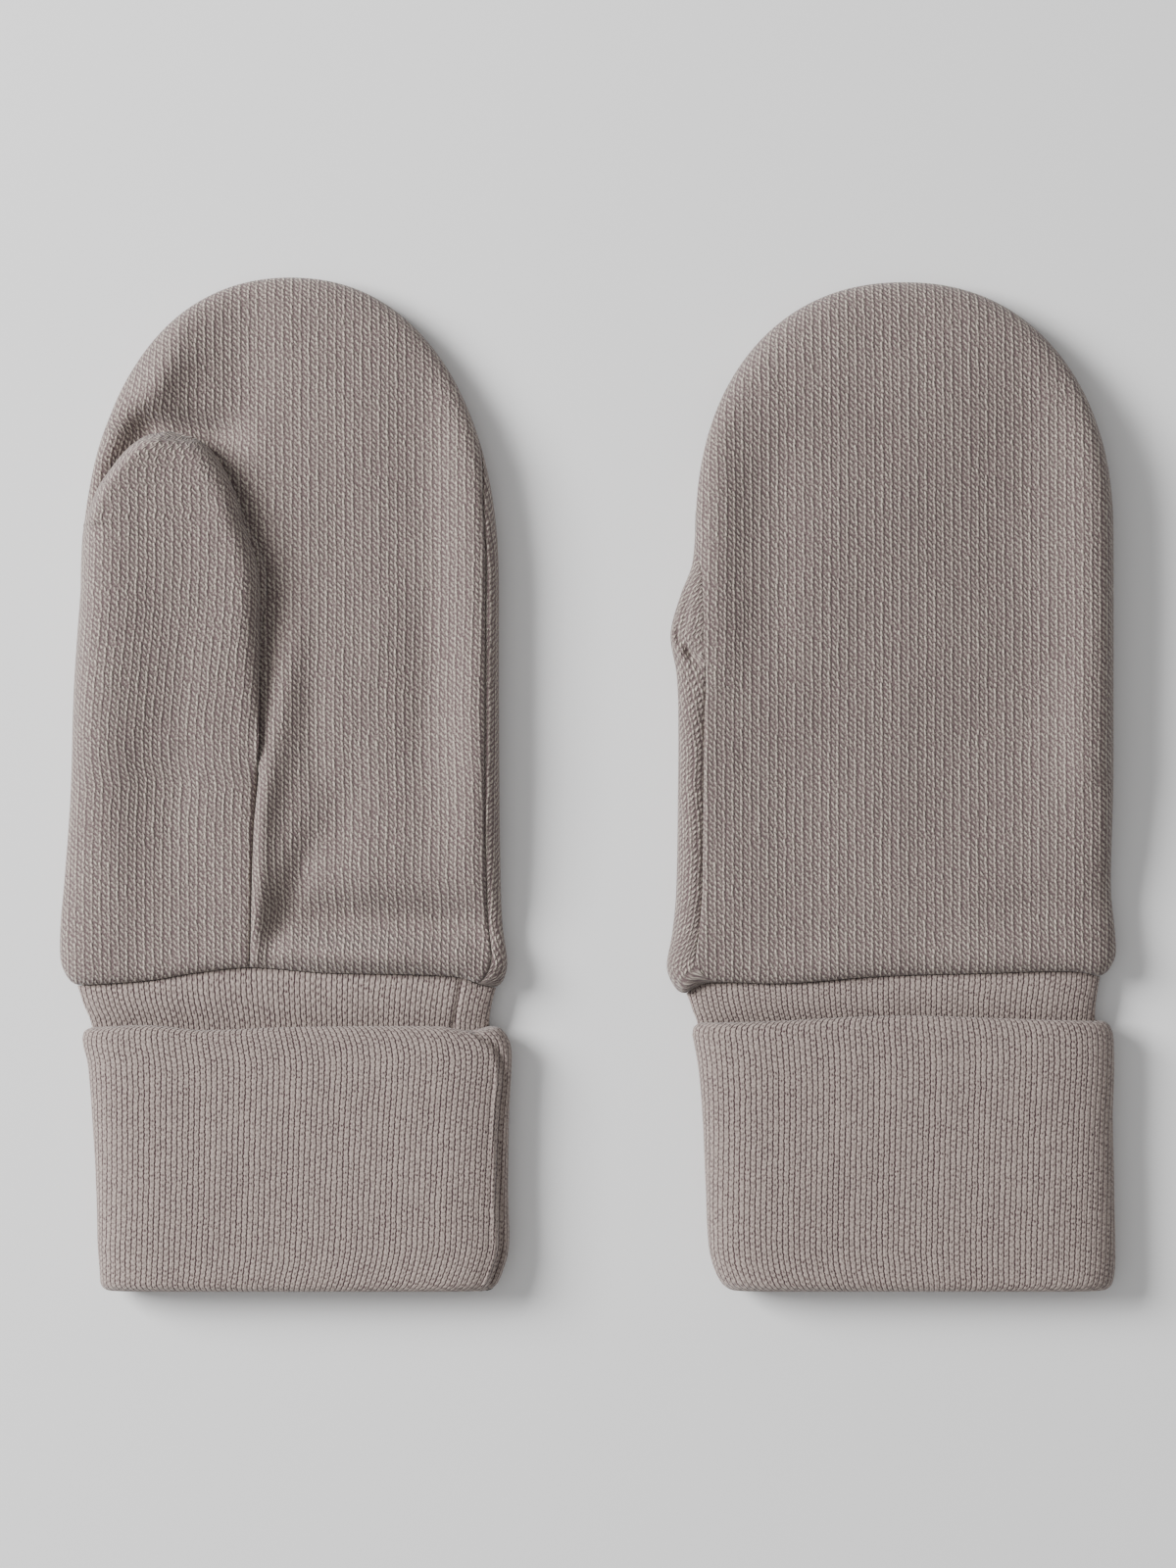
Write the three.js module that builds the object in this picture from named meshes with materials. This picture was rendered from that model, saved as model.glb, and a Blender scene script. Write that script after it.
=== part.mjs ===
// A pair of baby mittens in thick knitted jersey, laid flat side by side, fingertips along +Y.
// The left-hand mitten lies palm up with its thumb folded over the palm. The right-hand mitten lies
// with the back of the hand up and its thumb folded underneath. Each mitten is a flattened tube of
// cloth closed at the fingertips, sewn from a back, a palm, the two halves of the thumb and a cuff
// that is folded and turned up. Millimetres, +Z up, resting on z = 0.

import * as THREE from 'three';

// Driving dimensions of the cloth
const WALL = 2; // thickness of the knit
const SEAM_GAP = 0.3; // space between two pieces at a seam
const CUFF_LAYER = 1.6; // thickness of the cuff's finer knit

// Driving dimensions of a mitten
const HEM_Y = -33.1; // where the hand is sewn to the cuff
const HEM_ROLL = 4.5; // how far up the hand the hem starts to roll in
const HAND_HEIGHT = 8.2; // floor to the top of the hand along its edges
const SAG = 0.9; // how far the hand sinks in between its edges
const SAG_POWER = 4; // how evenly it sinks in, 2 is a hollow and more is flatter
const EDGE_POWER = 10; // how tightly the sides round over
const DOME_POWER = 2.2; // outline of the fingertips, 2 is an ellipse
const FLATTEN = 0.12; // presses the underside onto the floor

// Driving dimensions of the thumb
const THUMB_RISE = 5.2; // palm to the top of the thumb
const THUMB_FROM_Y = -26; // where the thumb starts to stand out of the hand
const THUMB_FULL_Y = 10; // where it has all its thickness
const THUMB_INNER = 1.6; // thickness of the half that lies on the palm
const THUMB_ROUND = 3.5; // how far in from its edge the thumb rounds over
const THUMB_SLOPE = 14; // the same at the hem, where it slopes down to its seam
const INSIDE_ROUND = 0.6; // how much of the wall comes off that on the inside
const THUMB_TIP_Y = 59.3;
const CROTCH_Y = 2; // where the thumb parts from the palm
const PARTING_BELOW = 3; // the parting starts this far below the crotch
const PARTING_ABOVE = 6; // and is complete this far above it
const SIDE_PARTING = 5; // the same at the thumb's left edge, below the junction
const INNER_ABOVE_CROTCH = 9; // where the inner half starts
const INNER_LEFT_X = -27; // how far the inner half reaches to the left
const JUNCTION_Y = 47.5; // where the thumb's edge meets the outline of the hand
const UNDER_THUMB_Y = JUNCTION_Y - 0.6; // last row of the palm under the thumb
const ABOVE_THUMB_Y = JUNCTION_Y + 0.6; // first row of the palm that reaches the outline

// Driving dimensions of the cloth over a thumb that lies underneath
const DRAPE_START = 5; // how far beyond the thumb the palm starts to come down
const DRAPE = 12; // over what distance it comes down
const DRAPE_TIP_X = -12; // the side that the drape has at the thumb's tip
const BRIDGE = 0.75; // share of the thumb's rise that shows on the back of the hand
const BRIDGE_ACROSS = { from: -20, to: 46 }; // where that rise slopes down, in x
const BRIDGE_TO_TIP = { from: 60, to: 86 }; // and in y

// Driving dimensions of the cuff
const CUFF_LOW_Y = -85.3;
const CUFF_TOP_Y = -40.7;
const CUFF_HEIGHT = 9;
const CUFF_POCKET = 3.6; // depth of the groove behind the turned-up edge
const BAND_LOW = 1.2;
const BAND_HIGH = 7.2;

// A crease fades in and out over these shares of its length
const CREASE_START = { from: -0.2, to: 0.35 };
const CREASE_END = { from: 0.75, to: 1.15 };

// Numbers of rows and columns of faces
const ROLL_ROWS = 3;
const STRAIGHT_ROWS = 14;
const FINGERTIP_ROWS = 8;
const THUMB_TIP_ROWS = 7;
const BACK_COLUMNS = 14;
const PALM_COLUMNS = 20;
const COLUMN_EASE = 0.08; // gathers the columns in the middle of a panel
const THUMB_COLUMNS = 13;
const INNER_ROWS = 12;
const INNER_COLUMNS = 6;
const CUFF_COLUMNS = 40;
const LOWER_FOLD_STEPS = 6;
const TOP_FOLD_STEPS = 4;
const CUFF_INSIDE_ROWS = [0.3, 0.65];
const CUFF_OUTSIDE_ROWS = [0.12, 0.3, 0.5, 0.7, 0.88];

// Right edge of the thumb, shared by both mittens: its seam up to the crotch, then its free edge
const THUMB_EDGE = [
  { y: -33.1, x: -6.2 }, { y: -30.9, x: -6.0 }, { y: -8, x: -5.4 }, { y: 2, x: -4.5 },
  { y: 20, x: -3.9 }, { y: 30, x: -3.4 }, { y: 34, x: -3.7 }, { y: 39, x: -5.6 },
  { y: 43, x: -7.7 }, { y: 49.4, x: -9.3 }, { y: 53.5, x: -11.2 }, { y: 56.8, x: -13.4 },
  { y: 58.6, x: -16 }, { y: THUMB_TIP_Y, x: -19.2 },
];

// Left edge of the thumb above the place where it leaves the outline of the hand
const THUMB_FREE_EDGE = [
  { y: JUNCTION_Y, x: -33.3 }, { y: 50, x: -32 }, { y: 53.5, x: -30 }, { y: 56, x: -27.4 },
  { y: 58.2, x: -23.6 },
  { y: THUMB_TIP_Y, x: -19.2 },
];

// Left edge of the palm under the thumb, from the crotch to the outline of the hand
const PALM_UNDER_THUMB = [
  { y: CROTCH_Y, x: -4.4 }, { y: 6, x: -4.2 }, { y: 9, x: -7.2 }, { y: 40, x: -25.5 },
  { y: JUNCTION_Y, x: -29.4 },
];

// Each mitten: the outline of its hand and cuff, and the seams at its edges, where reach is how far
// in from the edge the seam runs. Soft creases are troughs, or ridges where depth is negative.
const MITTENS = [
  {
    name: 'left',
    centreX: -50.9,
    palmUp: true,
    domeFromY: 32.9,
    domeLength: 52.5,
    sides: [
      { y: -33.1, left: -37.2, right: 37.2 }, { y: -29, left: -38, right: 37.3 },
      { y: -23.5, left: -38, right: 36.5 }, { y: -16.9, left: -37.4, right: 36.2 },
      { y: -2, left: -36.3, right: 36 }, { y: 16.1, left: -35.7, right: 35.9 },
      { y: 32.9, left: -34.5, right: 35.9 },
    ],
    band: [
      { y: -45, left: -32.4, right: 34.6 }, { y: -40, left: -33, right: 34.3 },
      { y: -36.7, left: -33.6, right: 34.7 }, { y: -33.1, left: -34.4, right: 35.4 },
    ],
    cuff: [
      { y: -85.3, left: -31.2, right: 35.2 }, { y: -82, left: -31.4, right: 36.6 },
      { y: -78, left: -31.7, right: 37.6 }, { y: -69.7, left: -31.9, right: 37.5 },
      { y: -56.5, left: -32.6, right: 37.5 }, { y: -47, left: -33.3, right: 38 },
      { y: -43, left: -34.2, right: 37.5 }, { y: -40.7, left: -34.2, right: 36.8 },
    ],
    littleFingerSeam: [
      { y: -33.1, reach: 5 }, { y: -20, reach: 3.2 }, { y: -7, reach: 2.8 }, { y: 10, reach: 1.6 },
      { y: 45, reach: 1.2 }, { y: 58, reach: 0 }, { y: 90, reach: 0 },
    ],
    indexFingerSeam: [
      { y: -33.1, reach: 5 }, { y: -20, reach: 3.8 }, { y: 13, reach: 3.6 }, { y: 24, reach: 3 },
      { y: 39.5, reach: 0 }, { y: 90, reach: 0 },
    ],
    creases: [
      { fromX: 4.5, fromY: -6, toX: -2.5, toY: -30, depth: 1.5, width: 2.6 },
      { fromX: -2.6, fromY: 0, toX: -4.6, toY: -31, depth: -0.7, width: 1.5 },
      { fromX: 14, fromY: -19.5, toX: 31, toY: -21, depth: 0.5, width: 3 },
      { fromX: -23, fromY: 16, toX: -30, toY: -5, depth: 0.6, width: 4 },
    ],
  },
  {
    name: 'right',
    centreX: 51.15,
    palmUp: false,
    domeFromY: 41.7,
    domeLength: 42.9,
    sides: [
      { y: -33.1, left: -37.4, right: 36.8 }, { y: -29, left: -37.9, right: 37.8 },
      { y: -24.3, left: -37, right: 37.6 }, { y: -17.7, left: -36.3, right: 37 },
      { y: 0, left: -36, right: 37.3 }, { y: 13, left: -36, right: 37.3 },
      { y: 18.6, left: -36.3, right: 37.3 }, { y: 25.2, left: -37.3, right: 37.3 },
      { y: 31.8, left: -35.6, right: 37.3 }, { y: 36.5, left: -33.8, right: 37.3 },
      { y: 41.7, left: -33.2, right: 37.3 },
    ],
    band: [
      { y: -45, left: -31.8, right: 34.8 }, { y: -40, left: -32.8, right: 34.4 },
      { y: -37.5, left: -33.6, right: 34.5 }, { y: -33.1, left: -34.6, right: 35.2 },
    ],
    cuff: [
      { y: -85.3, left: -28, right: 37 }, { y: -82, left: -29.8, right: 37.6 },
      { y: -78, left: -30.8, right: 37.7 }, { y: -67.2, left: -31.4, right: 37.5 },
      { y: -57.3, left: -31.8, right: 37.3 }, { y: -48, left: -32.6, right: 37.5 },
      { y: -43, left: -33.6, right: 37.3 }, { y: -40.7, left: -33.4, right: 36.8 },
    ],
    littleFingerSeam: [
      { y: -33.1, reach: 5 }, { y: -20, reach: 3.2 }, { y: -7, reach: 2.8 }, { y: 10, reach: 1.6 },
      { y: 45, reach: 1.2 }, { y: 58, reach: 0 }, { y: 90, reach: 0 },
    ],
    indexFingerSeam: [
      { y: -33.1, reach: 5.4 }, { y: -20, reach: 3.8 }, { y: 13, reach: 3.8 },
      { y: 21, reach: 4.8 }, { y: 26, reach: 4.4 }, { y: 39.5, reach: 0 }, { y: 90, reach: 0 },
    ],
    creases: [
      { fromX: 17, fromY: -20, toX: 35, toY: -22, depth: 0.4, width: 3 },
      { fromX: -22, fromY: 62, toX: -22, toY: 2, depth: 0.5, width: 5 },
    ],
  },
];

// Materials

const handKnit = new THREE.MeshStandardMaterial({ color: '#948a85', roughness: 0.96, metalness: 0 });
const thumbKnit = new THREE.MeshStandardMaterial({ color: '#928884', roughness: 0.96, metalness: 0 });
const innerKnit = new THREE.MeshStandardMaterial({ color: '#857b77', roughness: 0.97, metalness: 0 });
const cuffKnit = new THREE.MeshStandardMaterial({ color: '#928883', roughness: 0.95, metalness: 0 });

// Curves through the rows of a table

const mix = (a, b, t) => a + (b - a) * t;

function smoothStep(from, to, value) {
  const t = Math.min(1, Math.max(0, (value - from) / (to - from)));
  return t * t * (3 - 2 * t);
}

// The slope of a column at a row, from the rows on its two sides
function slopeAt(table, column, row) {
  const before = table[Math.max(0, row - 1)];
  const after = table[Math.min(table.length - 1, row + 1)];
  return (after[column] - before[column]) / (after.y - before.y);
}

// A column's value at any y, on a smooth curve through the rows
function along(table, column, y) {
  if (y <= table[0].y) return table[0][column];
  const above = table.findIndex((row) => row.y > y);
  if (above < 0) return table[table.length - 1][column];
  const low = table[above - 1];
  const high = table[above];
  const span = high.y - low.y;
  const t = (y - low.y) / span;
  const start = slopeAt(table, column, above - 1) * span;
  const end = slopeAt(table, column, above) * span;
  const bend = t * t * (3 - 2 * t);
  return mix(low[column], high[column], bend) + start * t * (1 - t) ** 2 - end * t * t * (1 - t);
}

// A quarter round: 0 at the edge, 1 from a distance of radius on
function quarterRound(distance, radius) {
  const t = Math.min(1, Math.max(0, distance / radius));
  return Math.sqrt(1 - (1 - t) ** 2);
}

// The form of a hand, as heights over the points of its outline.
// inset moves a surface inwards by that much, for the inside of the wall.

// 1 on the hand, 0 at the hem, where the wall has rolled in to the wrist band
const rollAt = (y) => quarterRound(y - HEM_Y, HEM_ROLL);

// Middle and half width of the hand at y
function span(mitten, y, inset) {
  const rowY = Math.min(y, mitten.domeFromY);
  const roll = rollAt(y);
  const left = mix(along(mitten.band, 'left', HEM_Y), along(mitten.sides, 'left', rowY), roll);
  const right = mix(along(mitten.band, 'right', HEM_Y), along(mitten.sides, 'right', rowY), roll);
  const up = Math.max(0, y - mitten.domeFromY) / (mitten.domeLength - inset);
  const half = (right - left) / 2 - inset;
  const narrowing = Math.max(0, 1 - up ** DOME_POWER) ** (1 / DOME_POWER);
  return { middle: (left + right) / 2, full: half, half: half * narrowing, up };
}

// How full the section is at a point: 0 on the outline, 1 well inside it
function fullness(mitten, x, y, inset) {
  const { middle, full, up } = span(mitten, y, inset);
  const across = Math.abs(x - middle) / full;
  const out = (across ** DOME_POWER + up ** DOME_POWER) ** (1 / DOME_POWER);
  return Math.sqrt(1 - Math.min(1, out) ** EDGE_POWER);
}

// How strongly the thumb shows at y, from the wrist up
const thumbGrowth = (y) => smoothStep(THUMB_FROM_Y, THUMB_FULL_Y, y);

// 0 below the crotch, 1 where the thumb lies free on the palm
const thumbFreedom = (y) => smoothStep(CROTCH_Y - PARTING_BELOW, CROTCH_Y + PARTING_ABOVE, y);

// 0 where the thumb's left side is the side of the hand, 1 where it is an edge of its own
const leftFreedom = (y) => smoothStep(JUNCTION_Y - SIDE_PARTING, JUNCTION_Y, y);

// How far the cloth over a thumb that lies underneath is lifted
function drapedLift(mitten, x, y) {
  if (mitten.palmUp) return 0;
  const towardsTip = smoothStep(JUNCTION_Y, THUMB_TIP_Y, y);
  const beyond = Math.max(0, x - mix(along(THUMB_EDGE, 'x', y), DRAPE_TIP_X, towardsTip));
  const above = Math.max(0, y - THUMB_TIP_Y + DRAPE_START - 1);
  const fade = 1 - smoothStep(DRAPE_START, DRAPE_START + DRAPE, Math.hypot(beyond, above));
  return THUMB_RISE * thumbGrowth(y) * fade;
}

// How far the back of the hand is lifted by a thumb underneath, which it bridges in one long slope
function bridgedLift(mitten, x, y) {
  if (mitten.palmUp) return 0;
  const across = 1 - smoothStep(BRIDGE_ACROSS.from, BRIDGE_ACROSS.to, x);
  const lengthways = 1 - smoothStep(BRIDGE_TO_TIP.from, BRIDGE_TO_TIP.to, y);
  return BRIDGE * THUMB_RISE * thumbGrowth(y) * across * lengthways;
}

function creaseDepth(mitten, x, y) {
  let depth = 0;
  for (const crease of mitten.creases) {
    const alongX = crease.toX - crease.fromX;
    const alongY = crease.toY - crease.fromY;
    const length = Math.hypot(alongX, alongY);
    const t = ((x - crease.fromX) * alongX + (y - crease.fromY) * alongY) / length ** 2;
    const off = ((x - crease.fromX) * alongY - (y - crease.fromY) * alongX) / length;
    const fade = smoothStep(CREASE_START.from, CREASE_START.to, t)
      * (1 - smoothStep(CREASE_END.from, CREASE_END.to, t));
    depth += crease.depth * fade * Math.exp(-((off / crease.width) ** 2));
  }
  return depth;
}

// Floor side and top side of the hand's tube, before its edges are rounded
function levels(mitten, x, y, inset) {
  const { middle, full } = span(mitten, y, 0);
  const lift = drapedLift(mitten, x, y);
  const sink = SAG * (1 - Math.min(1, Math.abs(x - middle) / full) ** SAG_POWER);
  const roll = rollAt(y);
  const open = HAND_HEIGHT - sink - creaseDepth(mitten, x, y) + bridgedLift(mitten, x, y);
  return {
    low: mix(BAND_LOW, lift, roll) + inset,
    high: mix(BAND_HIGH, open, roll) - inset,
  };
}

// Height of a point on the hand's tube. raise adds the thumb on the palm's side, and part is half
// the seam's gap, up for a piece on the top side and down for one on the floor side.
function heightOn(mitten, x, y, { palmSide, inset, raise, free, part }) {
  const { low, high } = levels(mitten, x, y, inset);
  const middle = (low + high) / 2 + part;
  const full = fullness(mitten, x, y, inset);
  const lifted = raise * mix(full, 1, free);
  if (palmSide === mitten.palmUp) return middle + (high - middle) * full + lifted;
  const pressed = middle - (middle - low + FLATTEN) * full;
  return Math.max(inset, Math.max(low, pressed) - lifted);
}

// The solid between two grids of points, one for each face of the cloth, closed round the rim

class Cloth {
  constructor() {
    this.places = [];
    this.index = [];
    this.known = new Map();
  }

  vertex(point) {
    const key = point.map((value) => Math.round(value * 2000)).join();
    if (!this.known.has(key)) {
      this.known.set(key, this.places.length / 3);
      this.places.push(...point);
    }
    return this.known.get(key);
  }

  quad(a, b, c, d) {
    const corners = [a, b, c, d].map((point) => this.vertex(point));
    for (const [i, j, k] of [[0, 1, 2], [0, 2, 3]]) {
      const [p, q, r] = [corners[i], corners[j], corners[k]];
      if (p !== q && q !== r && r !== p) this.index.push(p, q, r);
    }
  }

  volume() {
    const [a, b, c] = [new THREE.Vector3(), new THREE.Vector3(), new THREE.Vector3()];
    let sum = 0;
    for (let i = 0; i < this.index.length; i += 3) {
      a.fromArray(this.places, this.index[i] * 3);
      b.fromArray(this.places, this.index[i + 1] * 3);
      c.fromArray(this.places, this.index[i + 2] * 3);
      sum += a.dot(b.cross(c));
    }
    return sum;
  }

  geometry() {
    if (this.volume() < 0) this.index.reverse();
    const geometry = new THREE.BufferGeometry();
    geometry.setAttribute('position', new THREE.Float32BufferAttribute(this.places, 3));
    geometry.setIndex(this.index);
    geometry.computeVertexNormals();
    return geometry;
  }
}

function wallBetween(outside, inside) {
  const cloth = new Cloth();
  const rows = outside.length - 1;
  const columns = outside[0].length - 1;
  for (let i = 0; i < rows; i += 1) {
    for (let j = 0; j < columns; j += 1) {
      cloth.quad(outside[i][j], outside[i][j + 1], outside[i + 1][j + 1], outside[i + 1][j]);
      cloth.quad(inside[i][j], inside[i + 1][j], inside[i + 1][j + 1], inside[i][j + 1]);
    }
    cloth.quad(outside[i][0], outside[i + 1][0], inside[i + 1][0], inside[i][0]);
    cloth.quad(outside[i + 1][columns], outside[i][columns], inside[i][columns],
      inside[i + 1][columns]);
  }
  for (let j = 0; j < columns; j += 1) {
    cloth.quad(outside[0][j + 1], outside[0][j], inside[0][j], inside[0][j + 1]);
    cloth.quad(outside[rows][j], outside[rows][j + 1], inside[rows][j + 1], inside[rows][j]);
  }
  return cloth.geometry();
}

function ringLoft(rings) {
  const cloth = new Cloth();
  rings.forEach((ring, i) => {
    const next = rings[(i + 1) % rings.length];
    ring.forEach((point, j) => {
      const after = (j + 1) % ring.length;
      cloth.quad(point, ring[after], next[after], next[j]);
    });
  });
  return cloth.geometry();
}

// Panels of the hand. A place on a section is an angle: 0 at the little finger's edge, a quarter
// turn in the middle of the palm, half a turn at the index finger's edge, then over the back.

// The angle that lies reach in from the edge, gap short of a seam that has one there
function seamAngle(mitten, table, y, gap) {
  const reach = along(mitten[table], 'reach', y);
  const { half } = span(mitten, y, 0);
  const inwards = Math.max(0, reach + gap * smoothStep(0, 1, reach));
  return Math.acos(Math.max(-1, 1 - inwards / Math.max(half, 1)));
}

// The angle on the palm at a distance x from the middle line
function angleAtX(mitten, x, y) {
  const { middle, half } = span(mitten, y, 0);
  return Math.acos(Math.min(1, Math.max(-1, (x - middle) / half)));
}

function pointOn(mitten, angle, y, options) {
  const { middle, half } = span(mitten, y, options.inset);
  const x = middle + half * Math.cos(angle);
  const palmSide = Math.sin(angle) > 0;
  return [x, y, heightOn(mitten, x, y, { raise: 0, free: 0, ...options, palmSide })];
}

// Rows from the hem to the junction, closest together where the hem rolls in, and one on each side
// of the place where the thumb leaves the palm
function lowerRows() {
  const rows = [CROTCH_Y, CROTCH_Y + 4, CROTCH_Y + 7];
  for (let i = 0; i < ROLL_ROWS; i += 1) {
    rows.push(HEM_Y + HEM_ROLL * (1 - Math.cos((Math.PI / 2) * (i / ROLL_ROWS))));
  }
  for (let i = 0; i < STRAIGHT_ROWS; i += 1) {
    rows.push(mix(HEM_Y + HEM_ROLL, UNDER_THUMB_Y, i / STRAIGHT_ROWS));
  }
  rows.push(UNDER_THUMB_Y);
  return rows.sort((a, b) => a - b);
}

// Rows that close up towards a tip
function tipRows(fromY, tipY, count) {
  return Array.from({ length: count + 1 }, (_, i) => (
    mix(fromY, tipY, Math.sin((Math.PI / 2) * (i / count)))
  ));
}

function handRows(mitten) {
  const tipY = mitten.domeFromY + mitten.domeLength;
  return [...lowerRows(), ...tipRows(ABOVE_THUMB_Y, tipY, FINGERTIP_ROWS)];
}

function thumbRows() {
  return [...lowerRows(), ...tipRows(JUNCTION_Y, THUMB_TIP_Y, THUMB_TIP_ROWS)];
}

// The same row on a surface that lies inset inside the dome of the fingertips
function insetRow(mitten, y, inset) {
  if (y <= mitten.domeFromY) return y;
  const shrink = (mitten.domeLength - inset) / mitten.domeLength;
  return mitten.domeFromY + (y - mitten.domeFromY) * shrink;
}

// A panel of the hand between two angles, which fromAngle and toAngle give at each y. Columns are
// closest together in the middle. Past an edge that endAngle gives they run together on it.
function handPanel(mitten, { fromAngle, toAngle, endAngle, top, columns }) {
  const part = (top ? 1 : -1) * SEAM_GAP / 2;
  const face = (inset) => handRows(mitten).map((y) => {
    const from = fromAngle(y);
    const to = toAngle(y);
    return Array.from({ length: columns + 1 }, (_, column) => {
      const t = column / columns;
      const eased = t + COLUMN_EASE * Math.sin(2 * Math.PI * t);
      const angle = Math.min(mix(from, to, eased), endAngle(y));
      return pointOn(mitten, angle, insetRow(mitten, y, inset), { inset, part });
    });
  });
  return wallBetween(face(0), face(WALL));
}

function backPanel(mitten) {
  return handPanel(mitten, {
    fromAngle: (y) => Math.PI + seamAngle(mitten, 'indexFingerSeam', y, SEAM_GAP / 2),
    toAngle: (y) => 2 * Math.PI + seamAngle(mitten, 'littleFingerSeam', y, -SEAM_GAP / 2),
    endAngle: () => 3 * Math.PI,
    top: !mitten.palmUp,
    columns: BACK_COLUMNS,
  });
}

// The palm's edge beside the thumb, under it, and above it along the outline
function palmPanel(mitten) {
  return handPanel(mitten, {
    fromAngle: (y) => seamAngle(mitten, 'littleFingerSeam', y, SEAM_GAP / 2),
    toAngle: () => Math.PI,
    endAngle: (y) => {
      if (y >= ABOVE_THUMB_Y) return Math.PI;
      const edge = y < CROTCH_Y ? along(THUMB_EDGE, 'x', y) : along(PALM_UNDER_THUMB, 'x', y);
      return angleAtX(mitten, edge + SEAM_GAP, y);
    },
    top: mitten.palmUp,
    columns: PALM_COLUMNS,
  });
}

// Thumb

// The thumb's height over the palm at a point, for a face that lies inset into its wall
function thumbRaise(mitten, x, y, edges, inset) {
  const free = thumbFreedom(y);
  const seat = SEAM_GAP + THUMB_INNER + SEAM_GAP;
  const rim = (seat + inset) * free;
  const crown = THUMB_RISE * thumbGrowth(y);
  const slope = mix(THUMB_SLOPE, THUMB_ROUND, smoothStep(THUMB_FROM_Y, CROTCH_Y, y));
  const reach = slope - inset * INSIDE_ROUND;
  let round = quarterRound(edges.right - x, reach);
  round *= quarterRound(THUMB_TIP_Y - inset * free - y, reach);
  round *= mix(1, quarterRound(x - edges.left, reach), leftFreedom(y));
  return mix(rim, Math.max(rim, crown), round);
}

// The thumb's edges at y for a face that lies inset into its wall
function thumbEdges(mitten, y, inset) {
  const right = along(THUMB_EDGE, 'x', y) - inset * thumbFreedom(y);
  const { middle, half } = span(mitten, y, 0);
  const outer = y < JUNCTION_Y ? middle - half : along(THUMB_FREE_EDGE, 'x', y);
  const left = outer + inset * leftFreedom(y);
  return { left: Math.min(left, right), right: Math.max(left, right) };
}

function thumbPanel(mitten) {
  const part = (mitten.palmUp ? 1 : -1) * SEAM_GAP / 2;
  const face = (inset) => thumbRows().map((y) => {
    const edges = thumbEdges(mitten, y, inset);
    const rowY = mix(y, y - inset, smoothStep(JUNCTION_Y, THUMB_TIP_Y, y));
    const to = angleAtX(mitten, edges.right, y);
    const from = y < JUNCTION_Y
      ? Math.PI + seamAngle(mitten, 'indexFingerSeam', y, -SEAM_GAP / 2)
      : angleAtX(mitten, edges.left, y);
    return Array.from({ length: THUMB_COLUMNS + 1 }, (_, column) => {
      const ease = Math.sin((Math.PI / 2) * (column / THUMB_COLUMNS));
      const angle = mix(from, to, ease);
      const { middle, half } = span(mitten, rowY, inset);
      const x = middle + half * Math.cos(angle);
      const raise = Math.sin(angle) > 0 ? thumbRaise(mitten, x, rowY, edges, inset) : 0;
      return pointOn(mitten, angle, rowY, { inset, part, raise, free: leftFreedom(y) });
    });
  });
  return wallBetween(face(0), face(WALL));
}

// The half of the thumb that lies against the palm, made from the palm's points, moved out
function thumbInner(mitten) {
  const part = (mitten.palmUp ? 1 : -1) * SEAM_GAP / 2;
  const face = (raise) => Array.from({ length: INNER_ROWS + 1 }, (_, row) => {
    const t = Math.sin((Math.PI / 2) * (row / INNER_ROWS));
    const y = mix(CROTCH_Y + INNER_ABOVE_CROTCH, THUMB_TIP_Y - SEAM_GAP, t);
    const right = along(THUMB_EDGE, 'x', y);
    const hidden = along(PALM_UNDER_THUMB, 'x', y) + SEAM_GAP;
    const left = Math.max(hidden, along(THUMB_FREE_EDGE, 'x', y), INNER_LEFT_X);
    return Array.from({ length: INNER_COLUMNS + 1 }, (__, column) => {
      const x = mix(Math.min(left, right - SEAM_GAP), right, column / INNER_COLUMNS);
      const options = { palmSide: true, inset: 0, raise, free: 1, part };
      return [x, y, heightOn(mitten, x, y, options)];
    });
  });
  return wallBetween(face(SEAM_GAP + THUMB_INNER), face(SEAM_GAP));
}

// Cuff: one tube, as rings from the end of the wrist band down its inside, round the lower fold, up
// the turned-up outside, over its top edge, down behind that edge and up the band's outside.

function cuffRing({ y, left, right, low, high, inset }) {
  const middle = (left + right) / 2;
  const half = (right - left) / 2 - inset;
  const centre = (low + high) / 2;
  return Array.from({ length: CUFF_COLUMNS }, (_, column) => {
    const angle = (2 * Math.PI * column) / CUFF_COLUMNS;
    const full = Math.sqrt(1 - Math.abs(Math.cos(angle)) ** EDGE_POWER);
    const up = centre + (high - inset - centre) * full;
    const down = Math.max(low + inset, centre - (centre - low - inset + FLATTEN) * full);
    return [middle + half * Math.cos(angle), y, Math.sin(angle) >= 0 ? up : down];
  });
}

function bandRow(mitten, y, inset) {
  const left = along(mitten.band, 'left', y);
  const right = along(mitten.band, 'right', y);
  return cuffRing({ y, left, right, low: BAND_LOW, high: BAND_HIGH, inset });
}

function cuffRow(mitten, y, inset) {
  const left = along(mitten.cuff, 'left', y);
  const right = along(mitten.cuff, 'right', y);
  return cuffRing({ y, left, right, low: 0, high: CUFF_HEIGHT, inset });
}

// Rows round a fold: a half circle of the given radius from the outside to the inside
function foldRows(mitten, centreY, radius, direction, steps) {
  return Array.from({ length: steps + 1 }, (_, step) => {
    const turn = Math.PI * (step / steps);
    const y = centreY + direction * radius * Math.sin(turn);
    return cuffRow(mitten, y, radius * (1 - Math.cos(turn)));
  });
}

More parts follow.
